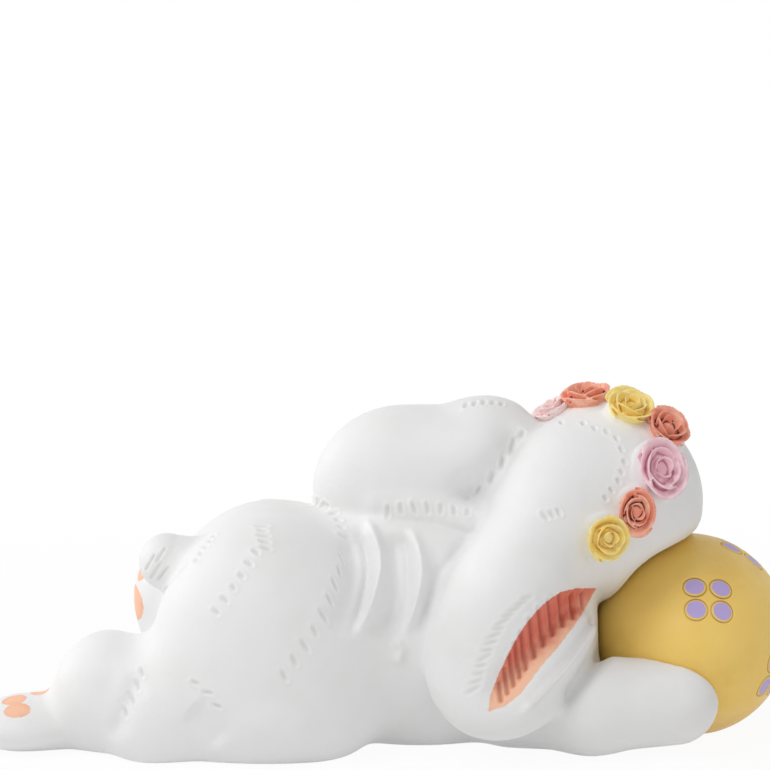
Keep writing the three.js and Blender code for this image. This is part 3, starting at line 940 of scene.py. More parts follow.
def srgb(red: int, green: int, blue: int) -> tuple[float, float, float, float]:
    """A colour as it looks on a screen, 0 to 255, in linear light.

    Args:
        red: How red it is.
        green: How green it is.
        blue: How blue it is.

    Returns:
        The colour and its alpha.
    """
    parts = [value / 255 for value in (red, green, blue)]
    linear = [v / 12.92 if v <= 0.04045 else ((v + 0.055) / 1.055) ** 2.4 for v in parts]
    return (*linear, 1.0)


class Paint(Graph):
    """A procedural material on one Principled shader."""

    def __init__(self, name: str) -> None:
        """Starts a material.

        Args:
            name: Its name.
        """
        self.material = bpy.data.materials.new(name)
        self.material.use_nodes = True
        super().__init__(self.material.node_tree)
        self.shader = self.tree.nodes["Principled BSDF"]
        self.where = self.out("ShaderNodeTexCoord", output="Object")

    def noise(self, scale: float, detail: float = 3.0, roughness: float = 0.55) -> Socket:
        """Soft random clouds; the scale is in clouds for each metre."""
        inputs = {"Vector": self.where, "Scale": scale, "Detail": detail, "Roughness": roughness}
        return self.out("ShaderNodeTexNoise", inputs, "Fac")

    def ragged(self, value: Socket, noise: Socket, amount: float) -> Socket:
        """A value that a noise raises and lowers."""
        return self.math("ADD", value, self.times(self.math("SUBTRACT", noise, 0.5), amount))

    def specks(self, scale: float, size: float) -> Socket:
        """Scattered round specks, 1 in their middle."""
        gap = self.out("ShaderNodeTexVoronoi", {"Vector": self.where, "Scale": scale}, "Distance")
        return self.ramp(gap, 0.0, size, 1.0, 0.0)

    def value(self, name: str) -> Socket:
        """A number that the mesh holds."""
        return self.out("ShaderNodeAttribute", output="Fac", attribute_name=name)

    def mix(self, part: Socket | float, a: object, b: object) -> Socket:
        """Between two colours."""
        return self.out("ShaderNodeMix", {0: part, 6: a, 7: b}, 2, data_type="RGBA")

    def finish(self, color: Socket, roughness: Socket, height: Socket, relief: float) -> bpy.types.Material:
        """Joins colour, roughness and bump to the shader.

        Args:
            color: The colour.
            roughness: The roughness.
            height: The bump's height, about 0 to 1.
            relief: Metres of height at 1.

        Returns:
            The material.
        """
        bump = self.out("ShaderNodeBump", {"Height": height, "Distance": relief, "Strength": 1.0})
        for name, socket in (("Base Color", color), ("Roughness", roughness), ("Normal", bump)):
            self.tree.links.new(socket, self.shader.inputs[name])
        return self.material


@dataclass(frozen=True)
class WhiteClay:
    """Matt white paint over the fired body, with coral paint where the mesh asks for it, and painted shade in
    the engraved grooves.

    Scales count clouds for each metre; specks and pinholes hold a scale and a size. Spans are the values
    between which one look turns into the next.
    """

    white: tuple = srgb(241, 241, 241)
    warm: tuple = srgb(237, 237, 236)
    shade: tuple = srgb(196, 192, 187)
    speck: tuple = srgb(150, 140, 128)
    coral: tuple = srgb(225, 121, 101)
    peach: tuple = srgb(253, 200, 168)
    # Painted shade for the coral in the grooves of its ribs
    fold: tuple = srgb(150, 62, 50)
    line: tuple = srgb(112, 82, 74)
    cloud_scale: float = 55
    grain_scale: float = 900
    streak_scale: float = 260
    swell_scale: float = 330
    gloss_scale: float = 140
    specks: tuple = (55, 0.022)
    pinholes: tuple = (120, 0.035)
    warm_span: tuple = (0.4, 0.75)
    edge_span: tuple = (-0.12, 0.25)
    line_span: tuple = (0.2, 0.7)
    gloss_span: tuple = (0.25, 0.8)
    groove_shade: float = 0.3
    fold_shade: float = 0.55
    speck_shade: float = 0.7
    raggedness: float = 0.7
    bumps: tuple = (0.5, 0.9, 1.2)
    roughness: tuple = (0.48, 0.66)
    specular: float = 0.38
    relief: float = 0.00009

    def build(self) -> bpy.types.Material:
        """Mixes the paint.

        Returns:
            The material.
        """
        paint = Paint("white_bisque")
        grain, groove = paint.noise(self.grain_scale), paint.value("groove")
        warm = paint.ramp(paint.noise(self.cloud_scale, 4), *self.warm_span)
        color = paint.mix(warm, self.white, self.warm)
        # Painted shade: the white turns darker in the engraved grooves
        color = paint.mix(paint.times(groove, self.groove_shade), color, self.shade)
        color = paint.mix(paint.times(paint.specks(*self.specks), self.speck_shade), color, self.speck)
        streak = paint.ragged(paint.value("coat"), paint.noise(self.streak_scale), self.raggedness)
        tone = paint.mix(paint.ramp(streak, 0.0, 1.0), self.coral, self.peach)
        # Painted shade: the coral turns darker in the grooves of its ribs
        tone = paint.mix(paint.times(groove, self.fold_shade), tone, self.fold)
        edge = paint.ragged(paint.value("coral"), grain, self.raggedness)
        color = paint.mix(paint.ramp(edge, *self.edge_span), color, tone)
        color = paint.mix(paint.ramp(paint.value("line"), *self.line_span), color, self.line)
        rough = paint.ramp(paint.noise(self.gloss_scale), *self.gloss_span, *self.roughness)
        fine, soft, pit = self.bumps
        swell = paint.times(paint.noise(self.swell_scale, 2), soft)
        height = paint.math("ADD", paint.times(grain, fine), swell)
        height = paint.math("SUBTRACT", height, paint.times(paint.specks(*self.pinholes), pit))
        paint.shader.inputs["Specular IOR Level"].default_value = self.specular
        return paint.finish(color, rough, height, self.relief)


@dataclass(frozen=True)
class EggPaint:
    """Satin yolk-yellow paint with lilac dots in engraved rings, and painted shade in the rings."""

    yolk: tuple = srgb(248, 210, 110)
    ochre: tuple = srgb(240, 196, 92)
    lilac: tuple = srgb(188, 170, 224)
    # Dark tone: the colour of the specks, and painted shade in the engraved rings
    dark_tone: tuple = srgb(120, 78, 24)
    cloud: tuple = (38, 5, 0.6)
    edge_scale: float = 1400
    gloss_scale: float = 120
    bump_scales: tuple = (420, 1500)
    fine_bump: float = 0.4
    specks: tuple = (70, 0.02)
    ochre_span: tuple = (0.42, 0.72)
    dot_span: tuple = (-0.08, 0.12)
    groove_span: tuple = (0.2, 0.8)
    gloss_span: tuple = (0.25, 0.8)
    speck_shade: float = 0.6
    groove_shade: float = 0.8
    raggedness: float = 0.4
    roughness: tuple = (0.4, 0.58)
    relief: float = 0.00007

    def build(self) -> bpy.types.Material:
        """Mixes the paint.

        Returns:
            The material.
        """
        paint = Paint("egg_yellow")
        color = paint.mix(paint.ramp(paint.noise(*self.cloud), *self.ochre_span), self.yolk, self.ochre)
        color = paint.mix(paint.times(paint.specks(*self.specks), self.speck_shade), color, self.dark_tone)
        edge = paint.ragged(paint.value("dot"), paint.noise(self.edge_scale), self.raggedness)
        color = paint.mix(paint.ramp(edge, *self.dot_span), color, self.lilac)
        # Painted shade: the engraved rings turn towards the dark tone
        groove = paint.ramp(paint.value("groove"), *self.groove_span, 0.0, self.groove_shade)
        color = paint.mix(groove, color, self.dark_tone)
        rough = paint.ramp(paint.noise(self.gloss_scale), *self.gloss_span, *self.roughness)
        coarse, fine = self.bump_scales
        height = paint.math("ADD", paint.noise(coarse), paint.times(paint.noise(fine, 2), self.fine_bump))
        return paint.finish(color, rough, height, self.relief)


@dataclass(frozen=True)
class RosePaint:
    """Matt paint on a rose: its slot, and the colours of petal, light edge and dark tone, which is painted
    shade in the recesses.
    """

    slot: str
    petal: tuple
    light: tuple
    # Painted shade in the recesses
    dark_tone: tuple
    cloud_scale: float = 300
    recess_shade_scale: float = 700
    gloss_scale: float = 400
    bump_scale: float = 1300
    light_span: tuple = (0.35, 0.7)
    recess_shade_span: tuple = (0.42, 0.92)
    gloss_span: tuple = (0.3, 0.7)
    raggedness: float = 0.35
    roughness: tuple = (0.5, 0.72)
    relief: float = 0.00012

    def build(self) -> bpy.types.Material:
        """Mixes the paint.

        Returns:
            The material.
        """
        paint = Paint(self.slot)
        light = paint.ramp(paint.noise(self.cloud_scale, 4), *self.light_span)
        color = paint.mix(light, self.petal, self.light)
        # Painted shade: the recesses turn towards the dark tone, by how deep they lie
        pit = paint.ragged(paint.value("cavity"), paint.noise(self.recess_shade_scale), self.raggedness)
        color = paint.mix(paint.ramp(pit, *self.recess_shade_span), color, self.dark_tone)
        rough = paint.ramp(paint.noise(self.gloss_scale, 2), *self.gloss_span, *self.roughness)
        return paint.finish(color, rough, paint.noise(self.bump_scale), self.relief)


class RoseTint(Enum):
    """The roses' paints."""

    # The last colour of each is its painted shade in the recesses
    CORAL = RosePaint("rose_coral", srgb(248, 163, 137), srgb(255, 200, 174), srgb(100, 32, 27))
    YELLOW = RosePaint("rose_yellow", srgb(255, 228, 132), srgb(255, 241, 172), srgb(222, 168, 74))
    LILAC = RosePaint("rose_lilac", srgb(246, 203, 213), srgb(254, 225, 232), srgb(198, 136, 152))
    PINK = RosePaint("rose_pink", srgb(255, 228, 226), srgb(255, 244, 242), srgb(222, 146, 150))


# The egg and the white clay


EGG_LOW, EGG_HIGH = box_mm("egg")


def vent(middle: Array, radius: float) -> Form:
    """The firing vent in a base, under the given middle."""
    foot = point(middle[0], middle[1], -radius)
    return limb(foot, foot + point(0, 0, 3 * radius), radius, radius)


@dataclass(frozen=True)
class Egg:
    """The egg, its long axis across the hare, with dots in groups of four."""

    radius: float = float(EGG_HIGH[0] - EGG_LOW[0]) / 2
    half_length: float = float(EGG_HIGH[1] - EGG_LOW[1]) / 2
    bluntness: float = 0.1
    foot_edge: float = 1.0
    pitch: float = 0.8
    margin: float = 3.0
    vent_radius: float = 4.0
    dot_radius: float = 2.55
    ring_radius: float = 3.15
    ring_cut: Cut = Cut(0.5, 0.4, 0.06)
    ring_reach: float = 1.0
    halvings: int = 2
    dot_step: float = 7.2
    steep: float = 0.8
    groups: tuple = ((709, 598), (775, 674))
    edge_groups: tuple = ((0.53, 0.1, 0.85), (1.0, 0.25, 0.3))

    @property
    def centre(self) -> Array:
        """The egg's middle."""
        return point(*((EGG_LOW + EGG_HIGH) / 2)[:2], EGG_HIGH[2] - self.radius)

    def bare(self, p: Array) -> Array:
        """The whole egg.

        Args:
            p: The points.

        Returns:
            Their distances.
        """
        q = p - self.centre
        fuller = 1 + self.bluntness * np.clip(q[:, 1] / self.half_length, -1, 1)
        q = q / np.stack([fuller, np.ones_like(fuller), fuller], 1)
        return ball(point(0, 0, 0), (self.radius, self.half_length, self.radius))(q)

    def form(self, p: Array) -> Array:
        """The egg with its ground foot and its vent."""
        ground = soft_max(self.bare(p), -p[:, 2], self.foot_edge)
        return np.maximum(ground, -vent(self.centre, self.vent_radius)(p))

    def dots(self) -> Array:
        """The dots' middles: groups of four at seen pixels, at the other end and at the egg's edge.

        Returns:
            One point for each dot.
        """
        seen = CAMERA.trace(self.bare, self.groups)
        other = self.centre + (seen - self.centre) * point(1, -1, 1)
        edge = self.centre + np.array(self.edge_groups, np.float32) * self.radius
        spots = []
        for middle in settle(self.bare, np.vstack([seen, other, edge]), CLOSE_ROUNDS):
            up = unit(gradient(self.bare, middle[None]))[0]
            side = point(1, 0, 0) if abs(up[0]) < self.steep else point(0, 1, 0)
            x = unit(side - up * float(side @ up)) * self.dot_step / 2
            y = np.cross(up, x)
            spots += [middle - x - y, middle - x + y, middle + x - y, middle + x + y]
        return settle(self.bare, np.array(spots, np.float32), CLOSE_ROUNDS)

    def build(self, engraving: Engraving, rings: DotRings, material: bpy.types.Material) -> bpy.types.Object:
        """The painted egg.

        Args:
            engraving: Cuts the rings.
            rings: Places the rings.
            material: The paint.

        Returns:
            The finished piece.
        """
        dots = self.dots()
        centres = make_mesh("dot_centres", dots)
        store(centres, "up", unit(gradient(self.bare, dots)), "FLOAT_VECTOR")
        cuts = make_object("dot_rings", centres)
        rings.use_on(cuts, Radius=self.ring_radius * MM, Material=material)
        strokes = freeze(cuts)
        points, quads = surface(self.form, EGG_LOW - self.margin, EGG_HIGH + self.margin, self.pitch)
        mesh = make_mesh("painted_egg", settle(self.form, points), quads)
        for _ in range(self.halvings):
            refine(mesh, mesh_points(strokes), self.ring_reach)
        set_points(mesh, settle(self.form, mesh_points(mesh)))
        egg = make_object("painted_egg", mesh)
        engraving.use_on(egg, Strokes=cuts, Material=material, **self.ring_cut.inputs())
        mesh = freeze(egg)
        bpy.data.objects.remove(cuts)
        p = mesh_points(mesh)
        gaps = np.min([lengths(p - dot) for dot in dots], axis=0)
        store(mesh, "dot", self.dot_radius - gaps)
        return egg


EGG = Egg()


@dataclass(frozen=True)
class Trunk:
    """Rump, belly and shoulders in a row, the thighs, and the skin folds at the waist."""

    rump_radii: tuple = (30.0, 35.0, 34.0)
    belly_radii: tuple = (42.0, 31.0, 35.5)
    shoulder_radii: tuple = (24.0, 29.0, 36.5)
    thigh_radii: tuple = (29.0, 21.0, 31.0)
    egg_to_shoulder: float = 43.0
    shoulder_to_belly: float = 30.0
    belly_to_rump: float = 38.0
    side_step: float = 4.0
    thigh_spread: float = 18.0
    shin_radius: float = 14.0
    shin_length: float = 32.0
    hock_back: float = 23.2
    flesh: float = 9.0
    leg_blend: float = 16.0
    vent_radius: float = 4.0
    lobe: tuple = (-9.0, -5.0, -3.0)
    lobe_radii: tuple = (11.0, 10.5, 13.0)
    shoulder_height: float = 31.5
    belly_drop: float = 1.0
    rump_drop: float = 1.5
    hock_sink: float = 2.0
    hip_back: float = 2.4
    lobe_blend: float = 7.0
    chest_edge_round: float = 5.0
    near_side: float = 6.0
    fade: float = 8.0
    chest_edge: tuple = ((597, 600), (599, 660))
    relief: tuple = (
        Swell(((361, 508), (376, 538), (381, 564), (373, 601), (358, 636)), 2.6, 5),
        Swell(((408, 520), (418, 546), (422, 572), (415, 608), (402, 638)), 2.6, 5),
        Swell(((395, 636), (402, 650), (397, 668)), 1.0, 5),
        Swell(((355, 520), (367, 556), (365, 592), (348, 640)), -1.8, 5),
        Swell(((342, 530), (354, 560), (351, 592), (334, 640)), -2.2, 12),
        Swell(((401, 526), (408, 557), (407, 600), (391, 645)), -1.8, 5),
        Swell(((391, 526), (397, 557), (395, 600), (378, 645)), -3.2, 11),
        Swell(((378, 516), (412, 522), (438, 526), (464, 533), (486, 535)), -2.0, 6),
        Swell(((434, 540), (436, 580), (424, 630)), -1.0, 8),
        Swell(((188, 708), (206, 724), (226, 746)), -1.7, 14),
        Swell(((484, 505), (474, 531), (456, 554), (438, 577), (427, 600), (422, 640)), -1.3, 7),
        Swell(((232, 738), (270, 726), (320, 738)), 1.0, 16),
    )

    @property
    def shoulder(self) -> Array:
        """Middle of the shoulders."""
        up = self.shoulder_height - EGG.centre[2]
        return EGG.centre + point(-self.egg_to_shoulder, -self.side_step, up)

    @property
    def belly(self) -> Array:
        """Middle of the belly."""
        return self.shoulder + point(-self.shoulder_to_belly, 0, -self.belly_drop)

    @property
    def rump(self) -> Array:
        """Middle of the rump."""
        return self.belly + point(-self.belly_to_rump, -self.side_step, -self.rump_drop)

    def hock(self, side: Side) -> Array:
        """Back end of a shin."""
        up = self.shin_radius - self.hock_sink - self.rump[2]
        return self.rump + point(-self.hock_back, side.value * self.thigh_spread, up)

    def thigh(self, side: Side) -> Form:
        """A thigh and the shin folded under it.

        Args:
            side: Right or left.

        Returns:
            The form.
        """
        hip = self.rump + point(-self.hip_back, side.value * self.thigh_spread, 0)
        knee = self.hock(side) + point(self.shin_length, 0, 0)
        shin = limb(knee, self.hock(side), self.shin_radius, self.shin_radius)
        return blended(self.leg_blend, ball(hip, self.thigh_radii), shin)

    def form(self) -> Form:
        """The trunk with its folds.

        Returns:
            The form.
        """
        row = [ball(self.rump, self.rump_radii), ball(self.belly, self.belly_radii),
               ball(self.shoulder, self.shoulder_radii)]
        masses = blended(self.flesh, *row, *[self.thigh(side) for side in Side])
        lobe = ball(self.hock(Side.RIGHT) + point(*self.lobe), self.lobe_radii)
        relief, chest, middle = Relief(*self.relief), CAMERA.blade(*self.chest_edge), self.rump[1]

        def distance(p: Array) -> Array:
            """The distance from some points."""
            seen = smooth_step((middle - self.near_side - p[:, 1]) / self.fade)
            total = soft_min(masses(p), lobe(p), self.lobe_blend) - relief.height(p) * seen
            return soft_max(total, chest(p), self.chest_edge_round)

        return distance


TRUNK = Trunk()


@dataclass(frozen=True)
class Head:
    """Skull, muzzle and cheeks, rolled onto the right cheek."""

    radius: float = 26.0
    cheek_press: float = 8.0
    lean: tuple = (-0.52, -0.11, 0.85)
    muzzle: tuple = (19.0, 0.0, -7.0)
    muzzle_radius: float = 12.5
    cheek: tuple = (8.0, 9.0, -8.0)
    cheek_radius: float = 15.0
    yaw: float = 37.0
    nod: float = 3.0
    roll: float = 48.0
    flesh: float = 9.0
    cheek_edge: tuple = ((690, 536), (641, 562), (597, 619))
    edge_bend: float = 2.5
    edge_round: float = 4.0

    @property
    def place(self) -> Place:
        """The head's own frame: x to the face, y to its left, z up."""
        middle = EGG.centre + unit(point(*self.lean)) * (EGG.radius + self.radius - self.cheek_press)
        return Place(middle, (turn("Z", self.yaw) @ turn("Y", self.nod) @ turn("X", self.roll)).T)

    def form(self) -> Form:
        """The head without ears.

        Returns:
            The form.
        """
        x, y, z = self.cheek
        parts = [ball(point(0, 0, 0), [self.radius] * 3), ball(point(*self.muzzle), [self.muzzle_radius] * 3)]
        parts += [ball(point(x, side.value * y, z), [self.cheek_radius] * 3) for side in Side]
        whole = self.place.carry(blended(self.flesh, *parts))
        first, corner, last = self.cheek_edge
        pressed = blended(self.edge_bend, CAMERA.blade(first, corner), CAMERA.blade(corner, last))
        return lambda p: soft_max(whole(p), pressed(p), self.edge_round)


HEAD = Head()


@dataclass(frozen=True)
class Ears:
    """The hanging right ear with its open, painted face, and the left ear that lies over the back."""

    seat: float = 5.0
    spread: float = 22.5
    flesh: float = 9.0
    overlap: float = 4.0
    hanging: tuple = (58.0, 42.0, 22.0)
    hanging_way: tuple = (-0.42, -0.36, -0.83)
    hanging_lobe: tuple = (0.0, 0.0, -6.0)
    stem_start: tuple = (-4.5, 0.0, 0.0)
    stem_end: tuple = (-9.0, 6.0)
    stem_radius: float = 15.0
    fold: tuple = ((0.0, 7.0, 13.0), (-5.0, -6.0, 0.0), (-13.5, -13.0, -14.5))
    fold_radii: tuple = (11.0, 12.8, 14.2)
    fold_blend: float = 6.0
    resting: tuple = (60.0, 33.0, 26.4)
    resting_lobe: float = 22.5
    resting_seat: tuple = (0.0, 12.0, 4.0)
    resting_drop: float = 3.0
    resting_roll: float = 4.0
    resting_blend: float = 7.0
    neck_shift: float = 6.0
    neck_rise: float = 6.0
    neck_taper: float = 3.0
    dome_grow: float = 2.0
    dome_drop: float = 6.0
    dome_raise: float = 0.5
    tuft: tuple = (28.5, 0.0, 86.6)
    tuft_radii: tuple = (7.0, 6.0, 3.2)
    near_side: float = 6.0
    fade: float = 8.0
    resting_relief: tuple = (
        Swell(((440, 506), (474, 487), (503, 460), (528, 428)), -3.6, 17),
    )
    resting_rim: tuple = ((378, 503), (412, 508), (438, 511), (464, 518), (486, 521))
    rim_radii: tuple = (1.6, 3.4, 3.6, 3.6, 3.4)
    rim_depth: float = 1.8
    rim_blend: float = 4.0
    relief: tuple = (
        Swell(((482, 716), (505, 684), (525, 655), (545, 630), (565, 609), (604, 586)), -3.4, 13),
        Swell(((612, 590), (597, 626), (574, 660), (548, 690), (510, 728)), 1.8, 6),
        Swell(((612, 606), (598, 642), (580, 670), (552, 702)), -1.5, 5),
    )
    inner_depth: float = -8.0
    inner_face: tuple = (
        (488, 712), (490, 695), (500, 670), (515, 640), (530, 618), (545, 602), (560, 592), (575, 588),
        (597, 588), (590, 600), (580, 618), (570, 632), (558, 648), (545, 662), (535, 675), (520, 695),
        (505, 706),
    )

    def root(self, side: Side) -> Array:
        """Where an ear grows out of the head."""
        reach, angle = HEAD.radius - self.seat, math.radians(self.spread)
        return HEAD.place.world(-math.cos(angle) * reach, side.value * math.sin(angle) * reach, 0)

    def lie(self, root: Array, tip: Array, rim: Array) -> Place:
        """An ear's frame: z from tip to root, x to its rim.

        Args:
            root: Where it grows.
            tip: Its end.
            rim: About the way to its rim.

        Returns:
            The frame.
        """
        z = unit(root - tip)
        x = unit(rim - z * float(rim @ z))
        return Place((root + tip) / 2, np.stack([x, np.cross(z, x), z]).astype(np.float32))

    def right(self) -> Form:
        """The hanging ear.

        Returns:
            The form.
        """
        length, width, thick = self.hanging
        root = self.root(Side.RIGHT)
        place = self.lie(root, root + unit(point(*self.hanging_way)) * length, point(1, 0, 0))
        lobe = ball(point(*self.hanging_lobe), (width / 2, thick / 2, length / 2 - self.overlap))
        end = point(*self.stem_end, length / 2 + self.overlap)
        stem = limb(point(*self.stem_start), end, self.stem_radius, thick / 2)
        fold = chain(root + np.array(self.fold, np.float32), self.fold_radii)
        bare = blended(self.fold_blend, place.carry(blended(self.flesh, lobe, stem)), fold)
        relief = Relief(*self.relief)
        return lambda p: bare(p) - relief.height(p)

    def left(self) -> Form:
        """The ear over the back.

        Returns:
            The form.
        """
        length, width, thick = self.resting
        root = self.root(Side.LEFT) + point(*self.resting_seat)
        tip = root + point(-length, 0, -self.resting_drop)
        roll = math.radians(self.resting_roll)
        place = self.lie(root, tip, point(0, -math.cos(roll), -math.sin(roll)))
        half, wide, lobe = length / 2, width / 2, self.resting_lobe
        end = point(0, self.neck_rise, half + self.overlap)
        neck = [ball(point(0, 0, half - lobe + self.neck_shift), (wide, thick / 2, lobe)),
                limb(point(0, 0, half / 2), end, thick / 2, thick / 2 - self.neck_taper)]
        deep = lobe + self.dome_grow
        dome = ball(tip + point(deep, 0, -self.dome_drop), (deep, wide, lobe + self.dome_raise))
        tuft = ball(point(*self.tuft), self.tuft_radii)
        bare = blended(self.resting_blend, place.carry(blended(self.flesh, *neck)), dome, tuft)
        near, body, relief = root[1] + self.near_side, TRUNK.form(), Relief(*self.resting_relief)
        spine = CAMERA.trace(lambda p: np.minimum(bare(p), body(p)), self.resting_rim, self.rim_depth)
        rim = chain(spine, self.rim_radii)

        def distance(p: Array) -> Array:
            """The distance from some points."""
            raised = relief.height(p) * smooth_step((near - p[:, 1]) / self.fade)
            return soft_min(bare(p) - raised, rim(p), self.rim_blend)

        return distance


EARS = Ears()


@dataclass(frozen=True)
class Limbs:
    """Forelegs, hind feet and tail."""

    foreleg_radius: float = 12.5
    foreleg_taper: float = 1.0
    foreleg_length: float = 54.0
    foreleg_press: float = 14.4
    foreleg_lift: float = 2.7
    foreleg_blend: float = 4.0
    paw_back: float = 6.2
    paw_in: float = 2.7
    paw_length: float = 22.0
    wrist: tuple = (1.2, -0.9)
    elbow: tuple = (-6.4, -2.0)
    foot_length: float = 46.0
    foot_width: float = 28.0
    foot_shift: float = 2.0
    foot_blend: float = 4.5
    ankle: tuple = (0.0, 3.0, 2.0)
    heel_height: float = 33.0
    heel_sink: float = 1.5
    heel_trim: float = 2.0
    toe_height: float = 13.4
    sole_rise: float = 4.5
    raised_size: tuple = (18.0, 26.0, 36.0)
    raised_side: float = 24.0
    raised_lean: tuple = (2.5, -1.2)
    raised_blend: float = 9.0
    tail_root: tuple = (-23.5, -2.0, 16.8)
    tail_rise: float = 2.4
    tail_radius: float = 9.5
    tail_tip_radius: float = 7.6
    tail_length: float = 23.0

    def foreleg(self, side: Side) -> Form:
        """A foreleg that hugs the egg.

        Args:
            side: Right or left.

        Returns:
            The form.
        """
        thick, thin = self.foreleg_radius, self.foreleg_radius - self.foreleg_taper
        out = EGG.half_length + thick - self.foreleg_press - self.paw_in
        paw = point(EGG.centre[0] - self.paw_back, EGG.centre[1] + side.value * out, thin + self.foreleg_lift)
        wrist = paw + point(-self.paw_length, side.value * self.wrist[0], self.wrist[1])
        elbow = paw + point(thick - self.foreleg_length, side.value * self.elbow[0], self.elbow[1])
        return blended(self.foreleg_blend, limb(elbow, wrist, thin, thick), limb(wrist, paw, thick, thin))

    def stretched_foot(self) -> Form:
        """The right hind foot, stretched out behind with its sole up.

        Returns:
            The form.
        """
        ankle = TRUNK.hock(Side.RIGHT) + point(*self.ankle)
        length, shift = self.foot_length, self.foot_shift
        high, low = self.heel_height / 2, self.toe_height / 2
        heel = point(ankle[0] - length / 2 + shift, ankle[1] + shift, high - self.heel_sink)
        toes = point(ankle[0] - length + shift, ankle[1] + shift, low)
        third, wide, arch = length / 3, self.foot_width / 2, low + self.sole_rise
        sole = limb(toes, point(ankle[0], toes[1], arch), low, arch)
        return blended(self.foot_blend, ball(heel, (third - self.heel_trim, wide, high)),
                       ball(toes, (third, wide, low)), sole, limb(heel, ankle, wide, wide))

    def raised_foot(self) -> Form:
        """The left hind foot, raised against the rump with its sole to the back.

        Returns:
            The form.
        """
        thick, wide, long = (size / 2 for size in self.raised_size)
        middle = TRUNK.rump + point(-TRUNK.rump_radii[0], self.raised_side, 0)
        heel = middle + point(self.raised_lean[0], 0, -long / 3)
        toes = middle + point(self.raised_lean[1], 0, long / 3)
        return blended(self.raised_blend, ball(heel, (thick, wide - self.heel_trim, long * 2 / 3)),
                       ball(toes, (thick, wide, long * 2 / 3)))

    def tail(self) -> Form:
        """The tail.

        Returns:
            The form.
        """
        root = TRUNK.rump + point(*self.tail_root)
        tip = root + point(self.tail_radius + self.tail_tip_radius - self.tail_length, 0, self.tail_rise)
        return limb(root, tip, self.tail_radius, self.tail_tip_radius)


LIMBS = Limbs()


@dataclass(frozen=True)
class RoseSeat:
    """Where a rose sits on the crown: its pixel, its radius and how much it is drawn out upwards."""

    node: str
    pixel: tuple[float, float]
    radius: float
    stretch: float = 1.0
    rise: float = 2.0
    tilt: float = 0.3

    def place(self, head: Form) -> Place:
        """The rose's frame, whose z points away from the head.

        Args:
            head: The head's form.

        Returns:
            The frame.
        """
        foot = settle(head, CAMERA.trace(lambda p: head(p) - self.rise, [self.pixel]), FAR_ROUNDS)
        to_camera = unit(point(*CAMERA.location) - foot[0])
        z = unit(unit(gradient(head, foot))[0] + self.tilt * to_camera)
        x = unit(np.cross(point(0, 0, 1), z))
        return Place(foot[0], np.stack([x, np.cross(z, x), z]).astype(np.float32))


@dataclass(frozen=True)
class CrownBand:
    """The white strip of clay that the roses are pressed onto, with a lip round each rose."""

    seats: tuple = (
        RoseSeat("rose_right_yellow", (608, 538), 5.8), RoseSeat("rose_right_coral", (637, 512), 4.9, 1.25),
        RoseSeat("rose_lilac", (661, 469), 6.6, 1.25), RoseSeat("rose_front_coral", (668, 428), 6.1),
        RoseSeat("rose_left_yellow", (631, 407), 6.3), RoseSeat("rose_left_coral", (587, 397), 6.6),
        RoseSeat("rose_left_pink", (547, 398), 5.4),
    )
    lip: float = 0.4
    thickness: float = 1.5
    core: float = 3.4
    core_lift: float = 1.0
    blend: float = 1.5

    def form(self, head: Form) -> Form:
        """The strip.

        Args:
            head: The head's form.

        Returns:
            The form.
        """
        places = [seat.place(head) for seat in self.seats]
        core = np.stack([place.world(0, 0, self.core_lift - self.core) for place in places])
        beds = []
        for seat, place in zip(self.seats, places):
            wide = seat.radius + self.lip
            beds.append(place.carry(ball(point(0, 0, 0), (wide, wide * seat.stretch, self.thickness))))
        return blended(self.blend, chain(core, [self.core] * len(core)), *beds)


CROWN = CrownBand()


